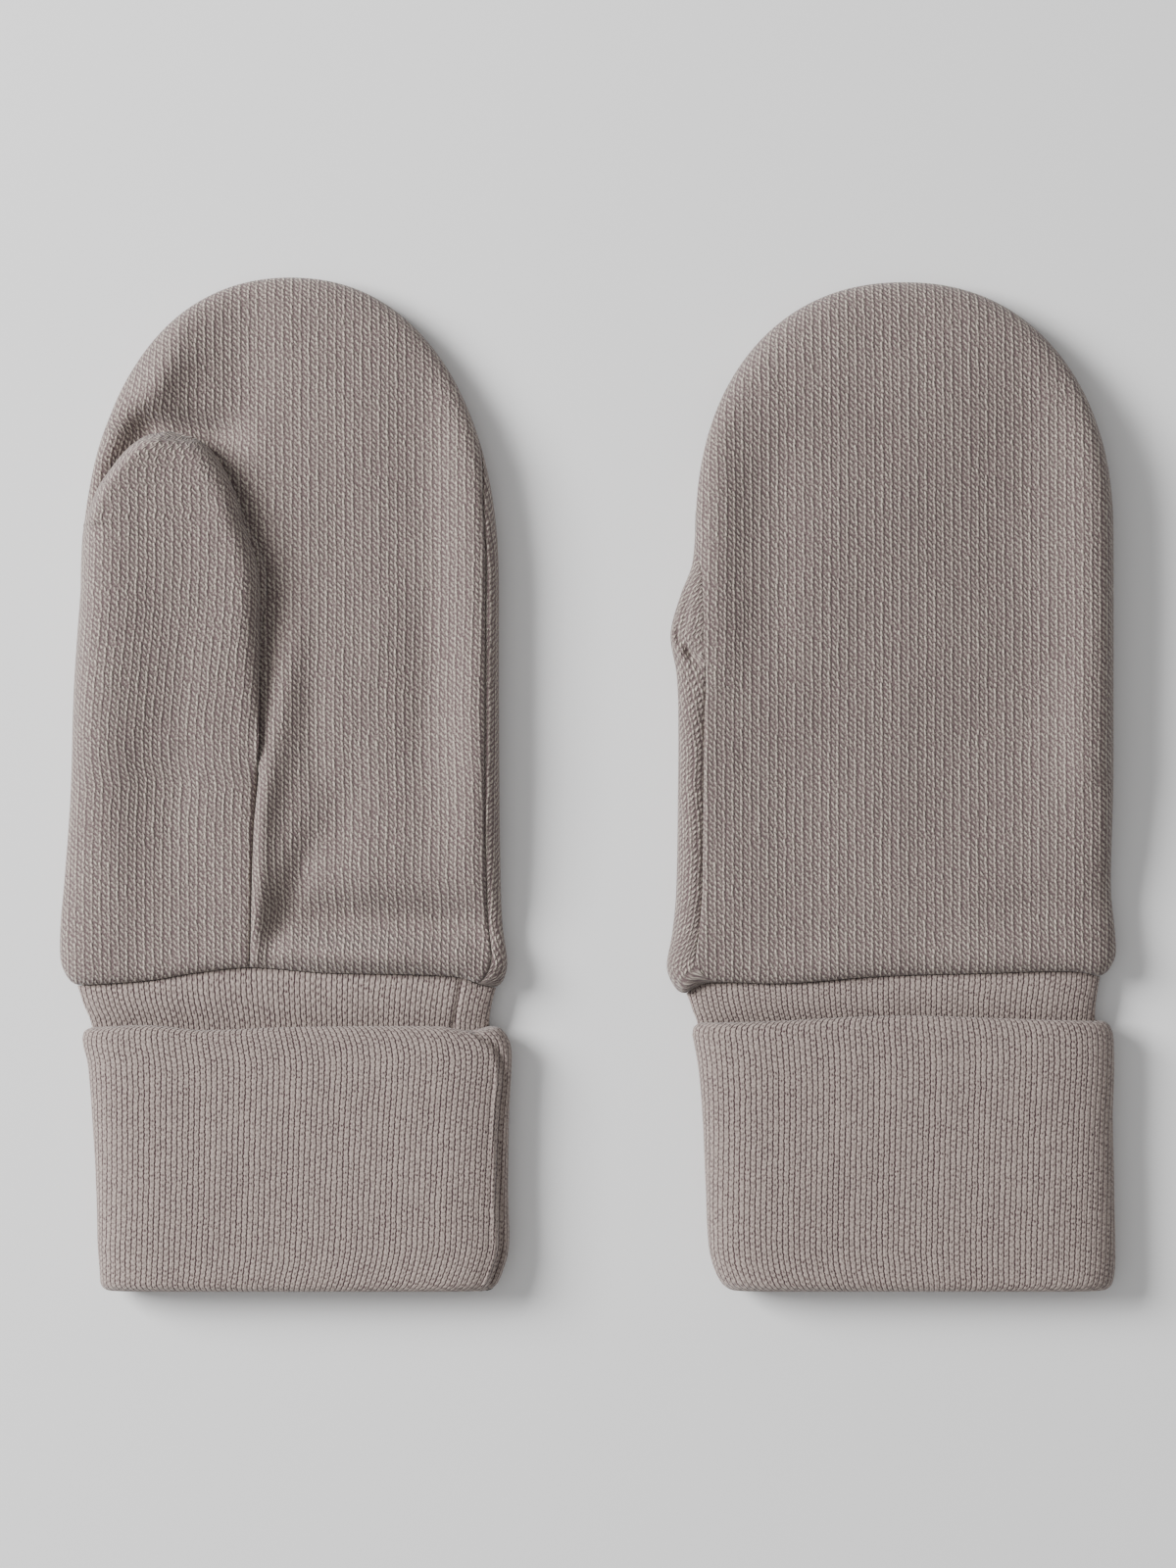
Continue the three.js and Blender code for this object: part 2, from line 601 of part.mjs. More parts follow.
function cuff(mitten) {
  const bandTop = HEM_Y - SEAM_GAP;
  const topRadius = CUFF_LAYER / 2;
  const foldRadius = CUFF_LAYER + SEAM_GAP / 2;
  const topCentre = CUFF_TOP_Y - topRadius;
  const lowCentre = CUFF_LOW_Y + foldRadius;
  const pocketY = CUFF_TOP_Y - CUFF_POCKET;
  const rings = [];
  for (const y of [bandTop, (bandTop + pocketY) / 2, pocketY]) {
    rings.push(bandRow(mitten, y, CUFF_LAYER));
  }
  for (const share of CUFF_INSIDE_ROWS) {
    rings.push(cuffRow(mitten, mix(pocketY, lowCentre, share), 2 * foldRadius));
  }
  rings.push(...foldRows(mitten, lowCentre, foldRadius, -1, LOWER_FOLD_STEPS).reverse());
  for (const share of CUFF_OUTSIDE_ROWS) {
    rings.push(cuffRow(mitten, mix(lowCentre, topCentre, share), 0));
  }
  rings.push(...foldRows(mitten, topCentre, topRadius, 1, TOP_FOLD_STEPS));
  rings.push(cuffRow(mitten, pocketY, CUFF_LAYER));
  for (const y of [pocketY, CUFF_TOP_Y, (CUFF_TOP_Y + bandTop) / 2, bandTop]) {
    rings.push(bandRow(mitten, y, 0));
  }
  return ringLoft(rings);
}

// Assembly

function named(name, geometry, material) {
  const mesh = new THREE.Mesh(geometry, material);
  mesh.name = name;
  return mesh;
}

const pair = new THREE.Group();

for (const mitten of MITTENS) {
  const hand = new THREE.Group();
  hand.position.x = mitten.centreX;
  hand.add(
    named(`${mitten.name}_back_panel`, backPanel(mitten), handKnit),
    named(`${mitten.name}_palm_panel`, palmPanel(mitten), handKnit),
    named(`${mitten.name}_thumb_panel`, thumbPanel(mitten), thumbKnit),
    named(`${mitten.name}_thumb_inner`, thumbInner(mitten), innerKnit),
    named(`${mitten.name}_cuff`, cuff(mitten), cuffKnit),
  );
  pair.add(hand);
}

export default pair;
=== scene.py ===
# A pair of baby mittens in taupe knitted jersey, laid flat side by side on a pale floor and seen from
# straight above. Each panel of cloth is a thin closed shell on the form of its solid, with soft creases,
# grooves at its seams, and a knit whose stitches are measured along the cloth. The form is worked out in
# millimetres from each mitten's own middle line, +Y towards the fingertips and +Z up.

import bmesh
import bpy
import numpy as np
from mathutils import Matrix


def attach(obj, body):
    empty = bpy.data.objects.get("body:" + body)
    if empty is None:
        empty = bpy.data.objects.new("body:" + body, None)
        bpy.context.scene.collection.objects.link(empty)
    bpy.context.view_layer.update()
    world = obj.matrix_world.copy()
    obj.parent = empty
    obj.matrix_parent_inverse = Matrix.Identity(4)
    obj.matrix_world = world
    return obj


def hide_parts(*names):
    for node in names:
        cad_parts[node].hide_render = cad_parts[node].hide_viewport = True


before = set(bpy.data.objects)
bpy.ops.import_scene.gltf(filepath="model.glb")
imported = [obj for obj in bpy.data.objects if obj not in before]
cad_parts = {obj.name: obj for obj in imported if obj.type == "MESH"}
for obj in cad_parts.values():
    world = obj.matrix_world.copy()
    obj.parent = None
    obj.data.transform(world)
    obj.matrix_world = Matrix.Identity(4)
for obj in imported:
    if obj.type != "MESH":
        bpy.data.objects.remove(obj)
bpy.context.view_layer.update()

MM = 0.001
TINY = 1e-9  # a least divisor


# Camera, light and floor, in metres

VIEW_HEIGHT = 0.264  # what the picture's height takes in at the mittens
VIEW_PLANE = 0.005  # height over the floor at which it does
CAMERA_AWAY = 1.0
SENSOR = 36  # millimetres, along the picture's height
LIGHTS = (
    {"name": "key", "place": (-1.0, 0.36, 0.7), "size": 0.6, "power": 29.5},
    {"name": "fill", "place": (-0.3, -0.1, 1.5), "size": 1.2, "power": 3},
)
WORLD_COLOUR = (1, 1, 1, 1)
WORLD_STRENGTH = 0.34
FLOOR_REACH = 3
FLOOR_DEPTH = 0.05 * MM  # how far it lies under the mittens
FLOOR_COLOUR = (0.92, 0.92, 0.92, 1)
FLOOR_ROUGHNESS = 0.9


def add_object(name, data):
    made = bpy.data.objects.new(name, data)
    bpy.context.collection.objects.link(made)
    return made


def add_camera():
    data = bpy.data.cameras.new("camera")
    data.sensor_width = SENSOR
    data.lens = SENSOR * CAMERA_AWAY / VIEW_HEIGHT
    camera = add_object("camera", data)
    camera.location = (0, 0, VIEW_PLANE + CAMERA_AWAY)
    bpy.context.scene.camera = camera


def add_light(name, place, size, power):
    data = bpy.data.lights.new(name, "AREA")
    data.size = size
    data.energy = power
    light = add_object(name, data)
    light.location = place
    towards = -light.location
    light.rotation_euler = towards.to_track_quat("-Z", "Y").to_euler()


def add_world():
    world = bpy.data.worlds.new("studio")
    world.use_nodes = True
    background = world.node_tree.nodes["Background"]
    background.inputs["Color"].default_value = WORLD_COLOUR
    background.inputs["Strength"].default_value = WORLD_STRENGTH
    bpy.context.scene.world = world


def add_floor():
    signs = ((-1, -1), (1, -1), (1, 1), (-1, 1))
    mesh = bpy.data.meshes.new("floor")
    mesh.from_pydata([(x * FLOOR_REACH, y * FLOOR_REACH, 0) for x, y in signs], [], [(0, 1, 2, 3)])
    paper = bpy.data.materials.new("paper")
    paper.use_nodes = True
    shader = paper.node_tree.nodes["Principled BSDF"]
    shader.inputs["Base Color"].default_value = FLOOR_COLOUR
    shader.inputs["Roughness"].default_value = FLOOR_ROUGHNESS
    mesh.materials.append(paper)
    floor = add_object("floor", mesh)
    floor.location.z = -FLOOR_DEPTH


# Sizes of the cloth, in millimetres from here on

WALL = 2  # thickness of the hand's cloth
SEAM_GAP = 0.04  # between two panels
SEAM_DEPTH = 0.6  # how deep the cloth dips at a seam
OUTLINE_DEPTH = 0.1  # the same where the seam runs along the outline
SEAM_ROUND = 1.6  # how far from the seam it starts to dip
CUFF_LAYER = 1.6  # thickness of the cuff's cloth
LEG = 0.735  # half a wale of the hand's knit
COURSE = 0.97
CUFF_WALE = 0.96
CUFF_COURSE = 0.94

# Sizes of a mitten's hand

HEM_Y = -33.1
HEM_ROLL = 4.5  # how far up from the hem the hand widens
HEM_LIP = 3.4  # how far up from the hem the cloth rises over the band
HEM_DEPTH = 1.1  # how deep the cloth dips at the hem
HEM_ROUND = 2.4  # how far from the hem it starts to dip
HEM_FADE = 10  # over what distance the hem's line fades out
STRIP_SHARE = 0.25  # how much of the dip is on the strip between the little finger's seam and edge
HAND_HEIGHT = 8.2
SAG = 0.9  # how much lower the upper side is in its middle than near its edges
SAG_POWER = 4
DOME_POWER = 2.2  # of the curve round the fingertips, where 2 is an ellipse
FLATTEN = 0.12  # how much of the underside's curve is cut off flat
LEAST_HALF = 1  # least half width for a seam's angle
SWELLS = (
    {"height": 0.16, "wavelength": 22, "seed": 3},
    {"height": 0.03, "wavelength": 5, "seed": 4},
)
SWELL_WAVES = 14
SWELL_LENGTHS = (0.7, 1.6)  # shortest and longest wave, in wavelengths

# Sizes of the thumb

THUMB_RISE = 6.3  # how much higher the cloth lies over it
THUMB_FROM_Y = -14  # where this rise starts
THUMB_FULL_Y = 42  # where it is full
THUMB_TIP_Y = 59.3
THUMB_GAP = 0.15  # between thumb and palm
THUMB_ROUND = 3.6  # how far from its edge beside the palm the thumb is rounded
THUMB_FREE_ROUND = 2.4  # the same round its tip and its outer side
THUMB_SLOPE = 14  # the same below the crotch, as a slope
INSIDE_ROUND = 0.6  # how much less these are for each millimetre inwards
THUMB_INNER = 1.2  # thickness of the inner half
INNER_EDGE = 0.3  # share of this thickness at its edge
INNER_ROUND = 1.3
INNER_ABOVE_CROTCH = 9  # where the inner half starts
INNER_LEFT_X = -27
INNER_FADE = 4  # over what distance the thumb's edge settles onto the palm beyond the inner half
CROTCH_Y = 2
PARTING_BELOW = 3  # how far below the crotch the thumb starts to come off the palm
PARTING_ABOVE = 6  # how far above the crotch it is free
JUNCTION_Y = 43.5  # where the thumb's outer side leaves the hand's outline
SIDE_PARTING = 5  # how far below the junction the outer side starts to be rounded
EDGE_PARTING = 0.5  # how far below the junction this is done, and the edge starts to lift off
PALM_CORNER = 0.4  # how far below the junction the palm's hidden edge meets the outline
JUNCTION_STEP = 0.3  # from the junction to the nearest rows of palm and back
UNDER_THUMB_Y = JUNCTION_Y - JUNCTION_STEP
ABOVE_THUMB_Y = JUNCTION_Y + JUNCTION_STEP

# Sizes of the cloth over a thumb that lies underneath

DRAPE_START = 5  # how far beyond the thumb the lower cloth is still fully lifted
DRAPE = 12  # over what distance it then comes down
DRAPE_TIP_X = -12  # where the thumb's edge is taken to be at its tip
DRAPE_TIP_INSET = 4  # how far below the tip the way beyond it is counted from
BRIDGE = 0.75  # share of the thumb's rise that the upper cloth has too
BRIDGE_ACROSS = (-20, 46)  # from where to where this fades out
BRIDGE_TO_TIP = (60, 86)

# Sizes of the cuff

CUFF_LOW_Y = -85.3
CUFF_TOP_Y = -40.7
CUFF_HEIGHT = 9
CUFF_POCKET = 3.6  # how far down the turned-up edge stands apart from the band
CUFF_EDGE_POWER = 8  # of the curve at its sides
CUFF_TAPER = 0.5  # how much lower the cuff is at its top edge
CUFF_TAPER_LENGTH = 5
GIRTH_Y = -60  # where the way round the cuff is measured
GIRTH_ROUNDING = 6  # how much shorter this is than round a box
CUFF_SEAM_DEPTH = 0.9
CUFF_SEAM_WIDTH = 0.6
SEAM_RIDGE = 0.35  # how far the stitches beside the cuff's seam stand out
RIDGE_BESIDE = 0.95
RIDGE_WIDTH = 0.4
FOLD_FADE = 9  # over what distance the line of the top edge fades out
TOP_FOLD = 0.9  # radius of the fold at the cuff's top edge
BAND_LOW = 1.2
BAND_HIGH = 6.4
BAND_DROP = 1.7  # how much lower the band is where it goes in behind the cuff
BAND_DROP_LENGTH = 3
HEM_DROP = 0.9  # the same where it meets the hem
HEM_DROP_LENGTH = 1.2
BAND_SEAM_DEPTH = 0.4
BAND_SEAM_WIDTH = 0.45
CUFF_LEAN = 0.055  # sideways run of the cuff's wales for each millimetre up

# Where a crease starts and ends, as shares of its length

CREASE_START = (-0.2, 0.35)
CREASE_END = (0.75, 1.15)
CREASE_COLUMNS = "from_x from_y to_x to_y depth width"  # a ridge has a depth below 0


def table(columns, *rows):
    """Rows of numbers as one array for each named column."""
    return dict(zip(columns.split(), np.array(rows, dtype=float).T))


THUMB_EDGE = table(
    "y x",
    (-33.1, -6.2), (-30.9, -6.0), (-8, -5.4), (2, -4.5), (20, -4.2), (27, -4.2), (32, -4),
    (36, -4.4), (40, -5.4), (44, -6.9), (47.4, -7.8), (50.4, -8.9), (53.3, -10.4), (55.4, -11.8),
    (56.9, -13.2), (58.4, -15.8), (THUMB_TIP_Y, -19.4),
)
THUMB_FREE_EDGE = table(
    "y x",
    (JUNCTION_Y, -34), (46.8, -32.7), (50.4, -31.1), (52.7, -29.4), (54.5, -28), (56.2, -26.5),
    (57.5, -25), (58.7, -22.9), (THUMB_TIP_Y, -19.4),
)
INNER_PEEK = table(
    "y beyond", (18, 0), (26.5, 0.3), (29.5, 0.7), (32.4, 1), (35.3, 1.2), (38.3, 1.2), (41.2, 0.9),
    (46, 0.3), (50, 0),
)
PALM_UNDER_THUMB = table(
    "y x", (CROTCH_Y, -4.7), (5, -5.6), (9, -8), (38, -25.5), (JUNCTION_Y - PALM_CORNER, -34)
)

MITTENS = [
    {
        "name": "left",
        "centre": -50.9,
        "palm_up": True,
        "dome_from": 32.9,
        "dome_length": 52.5,
        "edge": table("y power", (-33.1, 9), (-5, 12), (25, 20), (90, 20)),
        "sides": table(
            "y left right",
            (-33.1, -37.2, 37.2), (-29, -38, 37.3), (-23.5, -38, 36.5), (-16.9, -37.4, 36.2),
            (-2, -36.3, 36), (16.1, -35.7, 35.9), (32.9, -34.5, 35.9),
        ),
        "band": table(
            "y left right",
            (-45, -32.4, 34.6), (-40, -33, 34.3), (-36.7, -34.2, 34.7), (-33.1, -35.2, 35.4),
        ),
        "cuff": table(
            "y left right",
            (-85.3, -31.2, 35.2), (-82, -31.4, 36.6), (-78, -31.7, 37.6), (-69.7, -31.9, 37.5),
            (-56.5, -32.6, 37.6), (-47, -33.4, 38.1), (-44.2, -34.1, 37.9), (-42.3, -34.3, 37),
            (-41.3, -33.9, 35.8), (-40.4, -32.8, 33.8),
        ),
        "cuff_seam": table(
            "y reach",
            (-90, 1.2), (-60, 1.5), (-50, 1.3), (-47, 1.7), (-44.6, 2.4), (-42.2, 4.4), (-40, 5),
        ),
        "band_seam": table("y x", (-45, 27.6), (-40.5, 28.3), (-33.1, 29.5)),
        "hem": table(
            "x rise",
            (-36, -0.9), (-23, 0), (-15, 1.3), (-6, 2.2), (6.4, 1.3), (21, 1), (29.5, 0.5),
            (33, -0.8), (36, -1.3),
        ),
        "fold": table(
            "x rise",
            (-34, -0.3), (-23, 0.2), (-14, -0.6), (1.4, -0.1), (26, 0), (31, -0.7), (36, 0.4),
        ),
        "little_seam": table(
            "y reach depth",
            (-33.1, 3.2, 0.6), (-28, 2.1, 0.7), (-20, 1.9, 0.75), (-7, 2, 0.75), (10, 1.8, 0.75),
            (45, 1.4, 0.7), (58, 0, 0.1), (90, 0, 0.1),
        ),
        "index_seam": table(
            "y reach depth",
            (-33.1, 5, 1), (-20, 3.8, 1), (13, 3.6, 1), (24, 3, 0.8), (39.5, 0, 0.1), (90, 0, 0.1),
        ),
        "creases": table(
            CREASE_COLUMNS,
            (2.4, 28, -3.9, -8, -1.1, 2.5),
            (-3, 6, -4.9, -33, -1, 1.8),
            (4.6, -9, -4.2, -32, 1.3, 2.6),
            (11, 2, 0.5, -32, 0.9, 5),
            (4, 24, 5, -2, 0.5, 3),
            (0, -22.5, 37, -24.5, 3.4, 4.5),
            (-5, -29.5, 36, -30, -1.2, 2.6),
            (-3, -28.5, 24, -29, -0.9, 2.4),
            (23.5, 68, 24.5, -14, 0.8, 5),
            (24, 32, 24, 2, 0.5, 4),
            (32, 80, 32.5, -20, -1, 5),
            (33, 24, 33.5, -16, -0.5, 3.5),
            (-17, 84, -22.5, 60, -1.4, 4.5),
            (-6, 86, -8.5, 60, 0.9, 5),
            (-33, 53, -18, 72, -1.3, 3),
            (-32, 47, -22.5, 61.5, 1.7, 2.7),
            (-31, 61.8, -7, 57.8, 3.1, 3.1),
        ),
        "thumb_creases": table(
            CREASE_COLUMNS,
            (-14, 50, -21, -22, 0.8, 7),
            (-28, 46, -31, -24, -0.5, 5),
            (-12, 30, -14, -12, -0.3, 4),
        ),
    },
    {
        "name": "right",
        "centre": 51.15,
        "palm_up": False,
        "dome_from": 41.7,
        "dome_length": 42.9,
        "edge": table("y power", (-33.1, 14), (-5, 20), (90, 22)),
        "sides": table(
            "y left right",
            (-33.1, -37.4, 36.8), (-29, -37.9, 37.8), (-24.3, -37, 37.6), (-17.7, -36.3, 37),
            (0, -36, 37.3), (13, -36, 37.3), (18.6, -36.3, 37.3), (25.2, -37.3, 37.3),
            (31.8, -35.6, 37.3), (36.5, -33.8, 37.3), (41.7, -33.2, 37.3),
        ),
        "band": table(
            "y left right",
            (-45, -31.8, 34.8), (-40, -32.8, 34.4), (-37.5, -33.6, 34.5), (-33.1, -34.6, 35.2),
        ),
        "cuff": table(
            "y left right",
            (-85.3, -28, 37), (-82, -29.8, 37.6), (-78, -30.8, 37.7), (-67.2, -31.4, 37.5),
            (-57.3, -31.8, 37.3), (-48, -32.6, 37.5), (-43.5, -33.4, 37.4), (-42, -33.6, 37.1),
            (-40.4, -32.6, 36),
        ),
        "cuff_seam": table("y reach", (-90, 1.5), (-40, 1.5)),
        "band_seam": table("y x", (-45, 30), (-33.1, 30)),
        "hem": table(
            "x rise", (-35, -2.5), (-32, -0.5), (-18, -0.5), (-2, 0.7), (15, 1.2), (31, 1.5), (36, 0.5)
        ),
        "fold": table("x rise", (-34, 0.5), (-20, 0.9), (0, 1.8), (20, 1.3), (36, 0.8)),
        "little_seam": table(
            "y reach depth",
            (-33.1, 5, 1), (-20, 3.2, 1), (-7, 2.8, 1), (10, 1.6, 0.8), (45, 1.2, 0.6),
            (58, 0, 0.1), (90, 0, 0.1),
        ),
        "index_seam": table(
            "y reach depth",
            (-33.1, 5.4, 0), (-28, 4.6, 0.15), (-20, 3.8, 0.8), (11, 3.8, 0.7), (18, 4.6, 0.25),
            (26, 5.3, 0.1), (31.9, 3.4, 0.15), (36.8, 1, 0.3), (39.5, 0, 0.1), (90, 0, 0.1),
        ),
        "creases": table(
            CREASE_COLUMNS,
            (17, -20, 36, -22, 0.5, 3),
            (-29, 60, -29, 16, -0.8, 3.2),
            (-20, 58, -20, 18, 0.7, 4.5),
            (35, 72, 34.5, -8, -2.2, 7),
            (31, 20, 31.5, -2, -0.5, 3.5),
            (38, -12, 38, -30, 0.9, 4),
            (-32, -30, 32, -29.5, -0.4, 3),
        ),
        "thumb_creases": table(
            CREASE_COLUMNS,
            (-29, 60, -29, 16, -0.8, 3.2),
            (-34.6, 33, -35.2, 25, 0.7, 0.8),
            (-36.9, 31, -35.9, 23.2, 0.8, 0.7),
            (-36.4, 25.6, -33.6, 21.2, 0.9, 0.7),
            (-34.9, 22.6, -32.3, 20, 0.9, 0.7),
        ),
    },
]

# Troughs in the underside, where the cloth stands a little off the floor

UNDER_CREASES = table(
    CREASE_COLUMNS,
    (-22, 42, -10, -22, 0.5, 5),
    (12, 52, 21, -6, 0.6, 6),
    (-27, -24, 26, -22, 0.5, 3.5),
    (-6, 76, 24, 58, 0.5, 5),
)


# Curves through the rows of a table

def mix(a, b, t):
    return a + (b - a) * t


def smooth_step(limits, value):
    start, end = limits
    t = np.clip((value - start) / (end - start), 0, 1)
    return t * t * (3 - 2 * t)


def along(rows, column, y):
    """A column's value at any place of the table's first column, on a smooth curve through its rows."""
    at, value = next(iter(rows.values())), rows[column]
    last = len(at) - 1
    before = np.maximum(np.arange(last + 1) - 1, 0)
    after = np.minimum(np.arange(last + 1) + 1, last)
    slope = (value[after] - value[before]) / (at[after] - at[before])
    y = np.clip(y, at[0], at[last])
    low = np.clip(np.searchsorted(at, y, side="right") - 1, 0, last - 1)
    length = at[low + 1] - at[low]
    t = (y - at[low]) / length
    bend = t * t * (3 - 2 * t)
    start = slope[low] * length
    end = slope[low + 1] * length
    return mix(value[low], value[low + 1], bend) + start * t * (1 - t) ** 2 - end * t * t * (1 - t)


def quarter_round(distance, radius):
    """0 at the edge, 1 from a distance of radius on."""
    t = np.clip(distance / radius, 0, 1)
    return np.sqrt(1 - (1 - t) ** 2)


def distance_to(outline, x, y):
    """Distance from points to a line given as an array of points."""
    best = np.full(np.broadcast(x, y).shape, np.inf)
    for (ax, ay), (bx, by) in zip(outline[:-1], outline[1:]):
        dx, dy = bx - ax, by - ay
        t = np.clip(((x - ax) * dx + (y - ay) * dy) / (dx * dx + dy * dy), 0, 1)
        best = np.minimum(best, np.hypot(x - ax - t * dx, y - ay - t * dy))
    return best


def unevenness(x, y, wavelength, seed):
    """A smooth and irregular value, mostly within -1 to 1."""
    random = np.random.default_rng(seed)
    total = 0
    for _ in range(SWELL_WAVES):
        turn, phase = random.uniform(0, 2 * np.pi, 2)
        length = wavelength * random.uniform(*SWELL_LENGTHS)
        total = total + np.sin(2 * np.pi * (x * np.cos(turn) + y * np.sin(turn)) / length + phase)
    return total / SWELL_WAVES ** 0.5


# The form of a hand, as heights over the points of its outline

def roll_at(y):
    return quarter_round(y - HEM_Y, HEM_ROLL)


def lip_at(y):
    return quarter_round(y - HEM_Y, HEM_LIP)


def span(mitten, y, inset=0.0):
    """Middle, half width before the fingertips, half width and place in the fingertips at y."""
    row = np.minimum(y, mitten["dome_from"])
    roll = roll_at(y)
    left = mix(along(mitten["band"], "left", HEM_Y), along(mitten["sides"], "left", row), roll)
    right = mix(along(mitten["band"], "right", HEM_Y), along(mitten["sides"], "right", row), roll)
    up = np.maximum(0, y - mitten["dome_from"]) / (mitten["dome_length"] - inset)
    full = (right - left) / 2 - inset
    narrowing = np.maximum(0, 1 - up ** DOME_POWER) ** (1 / DOME_POWER)
    return (left + right) / 2, full, full * narrowing, up


def fullness(mitten, x, y, inset):
    """Share of the full height: 0 on the outline, close to 1 over most of the hand."""
    middle, full, _, up = span(mitten, y, inset)
    across = np.abs(x - middle) / full
    out = (across ** DOME_POWER + up ** DOME_POWER) ** (1 / DOME_POWER)
    return np.sqrt(1 - np.minimum(1, out) ** along(mitten["edge"], "power", y))


def thumb_growth(y):
    return smooth_step((THUMB_FROM_Y, THUMB_FULL_Y), y)


def thumb_freedom(y):
    return smooth_step((CROTCH_Y - PARTING_BELOW, CROTCH_Y + PARTING_ABOVE), y)


def side_freedom(y):
    return smooth_step((JUNCTION_Y - SIDE_PARTING, JUNCTION_Y - EDGE_PARTING), y)


def edge_freedom(y):
    return smooth_step((JUNCTION_Y - EDGE_PARTING, JUNCTION_Y), y)


def draped_lift(mitten, x, y):
    """How far a thumb underneath lifts the lower cloth."""
    if mitten["palm_up"]:
        return 0.0
    towards_tip = smooth_step((JUNCTION_Y, THUMB_TIP_Y), y)
    beyond = np.maximum(0, x - mix(along(THUMB_EDGE, "x", y), DRAPE_TIP_X, towards_tip))
    above = np.maximum(0, y - THUMB_TIP_Y + DRAPE_TIP_INSET)
    fade = 1 - smooth_step((DRAPE_START, DRAPE_START + DRAPE), np.hypot(beyond, above))
    return THUMB_RISE * thumb_growth(y) * fade


def bridged_lift(mitten, x, y):
    """How far a thumb underneath lifts the upper cloth, in a wide curve."""
    if mitten["palm_up"]:
        return 0.0
    across = 1 - smooth_step(BRIDGE_ACROSS, x)
    lengthways = 1 - smooth_step(BRIDGE_TO_TIP, y)
    return BRIDGE * THUMB_RISE * thumb_growth(y) * across * lengthways


def crease_depth(creases, x, y):
    depth = 0.0
    for row in range(len(creases["depth"])):
        from_x, from_y, to_x, to_y, deep, width = (column[row] for column in creases.values())
        dx, dy = to_x - from_x, to_y - from_y
        length = np.hypot(dx, dy)
        t = ((x - from_x) * dx + (y - from_y) * dy) / length ** 2
        off = ((x - from_x) * dy - (y - from_y) * dx) / length
        fade = smooth_step(CREASE_START, t) * (1 - smooth_step(CREASE_END, t))
        depth = depth + deep * fade * np.exp(-((off / width) ** 2))
    return depth


def levels(mitten, x, y, inset, creases):
    """Heights of the lower and the upper cloth where the hand has its full height."""
    middle, full, _, _ = span(mitten, y)
    lift = draped_lift(mitten, x, y)
    sink = SAG * (1 - np.minimum(1, np.abs(x - middle) / full) ** SAG_POWER)
    top = HAND_HEIGHT - sink - crease_depth(mitten[creases], x, y) + bridged_lift(mitten, x, y)
    for swell in SWELLS:
        top = top + swell["height"] * unevenness(x, y, swell["wavelength"], swell["seed"])
    return mix(BAND_LOW, lift, roll_at(y)) + inset, mix(BAND_HIGH, top, lip_at(y)) - inset


def height_on(mitten, x, y, palm_side, inset, part, raised=0.0, free=0.0, creases="creases"):
    """Height of points on the hand's tube. raised adds the thumb on the palm's side."""
    low, high = levels(mitten, x, y, inset, creases)
    middle = (low + high) / 2 + part
    full = fullness(mitten, x, y, inset)
    lifted = raised * mix(full, 1, free)
    top = middle + (high - middle) * full + lifted
    pressed = middle - (middle - low + FLATTEN) * full
    bottom = np.maximum(inset, np.maximum(low, pressed) - lifted)
    bottom = bottom + crease_depth(UNDER_CREASES, x, y) * full
    return np.where(palm_side == mitten["palm_up"], top, bottom)


# Panels of the hand. A place on a section is an angle: 0 at the little finger's edge, a quarter turn
# in the middle of the palm, half a turn at the index finger's edge, then over the back.

def seam_angle(mitten, seam, y, gap):
    reach = along(mitten[seam], "reach", y)
    _, _, half, _ = span(mitten, y)
    inwards = np.maximum(0, reach + gap * smooth_step((0, 1), reach))
    return np.arccos(np.maximum(-1, 1 - inwards / np.maximum(half, LEAST_HALF)))


def angle_at_x(mitten, x, y, inset=0.0):
    middle, _, half, _ = span(mitten, y, inset)
    return np.arccos(np.clip((x - middle) / np.maximum(half, TINY), -1, 1))


def hem_arch(mitten, x, y):
    """How far the uneven line of the hem moves a point along the hand."""
    return along(mitten["hem"], "rise", x) * np.exp(-np.abs(y - HEM_Y) / HEM_FADE)


def on_hand(mitten, angle, y, **options):
    """Points at angles on the sections of the hand's tube."""
    middle, _, half, _ = span(mitten, y, options["inset"])
    x = middle + half * np.cos(angle)
    z = height_on(mitten, x, y, np.sin(angle) > 0, **options)
    return np.stack(np.broadcast_arrays(x, y + hem_arch(mitten, x, y), z), axis=-1)


def spread(count, gather):
    """Steps from 0 to 1 that are closest together at both ends."""
    t = np.linspace(0, 1, count + 1)
    return t - gather * np.sin(2 * np.pi * t) / (2 * np.pi)


def rows_between(start, end, spacing):
    return np.linspace(start, end, max(2, int(np.ceil((end - start) / spacing)) + 1))


ROW_SPACING = 0.8
ROLL_ROWS = 9
TIP_ROWS = 60
COLUMNS = 118
GATHER = 0.62


def lower_rows():
    roll = HEM_Y + HEM_ROLL * (1 - np.cos(np.linspace(0, np.pi / 2, ROLL_ROWS + 1)))
    return np.concatenate((roll, rows_between(roll[-1], UNDER_THUMB_Y, ROW_SPACING)[1:]))


def tip_rows(start, tip, count):
    return mix(start, tip, np.sin(np.linspace(0, np.pi / 2, count + 1)))


def inset_row(mitten, y, inset):
    """Rows for the inside of a wall, drawn in at the fingertips."""
    shrink = (mitten["dome_length"] - inset) / mitten["dome_length"]
    start = mitten["dome_from"]
    return np.where(y <= start, y, start + (y - start) * shrink)


def arc_lengths(points, axis):
    """Length along a grid of points, from its start, along one axis."""
    steps = np.linalg.norm(np.diff(points, axis=axis), axis=-1)
    start = np.zeros_like(np.take(steps, [0], axis=axis))
    return np.concatenate((start, np.cumsum(steps, axis=axis)), axis=axis)


def dip(distance, depth, reach):
    """Share of the wall's thickness that it dips by at a distance from a seam of that depth."""
    return depth / WALL * (1 - quarter_round(distance, reach))


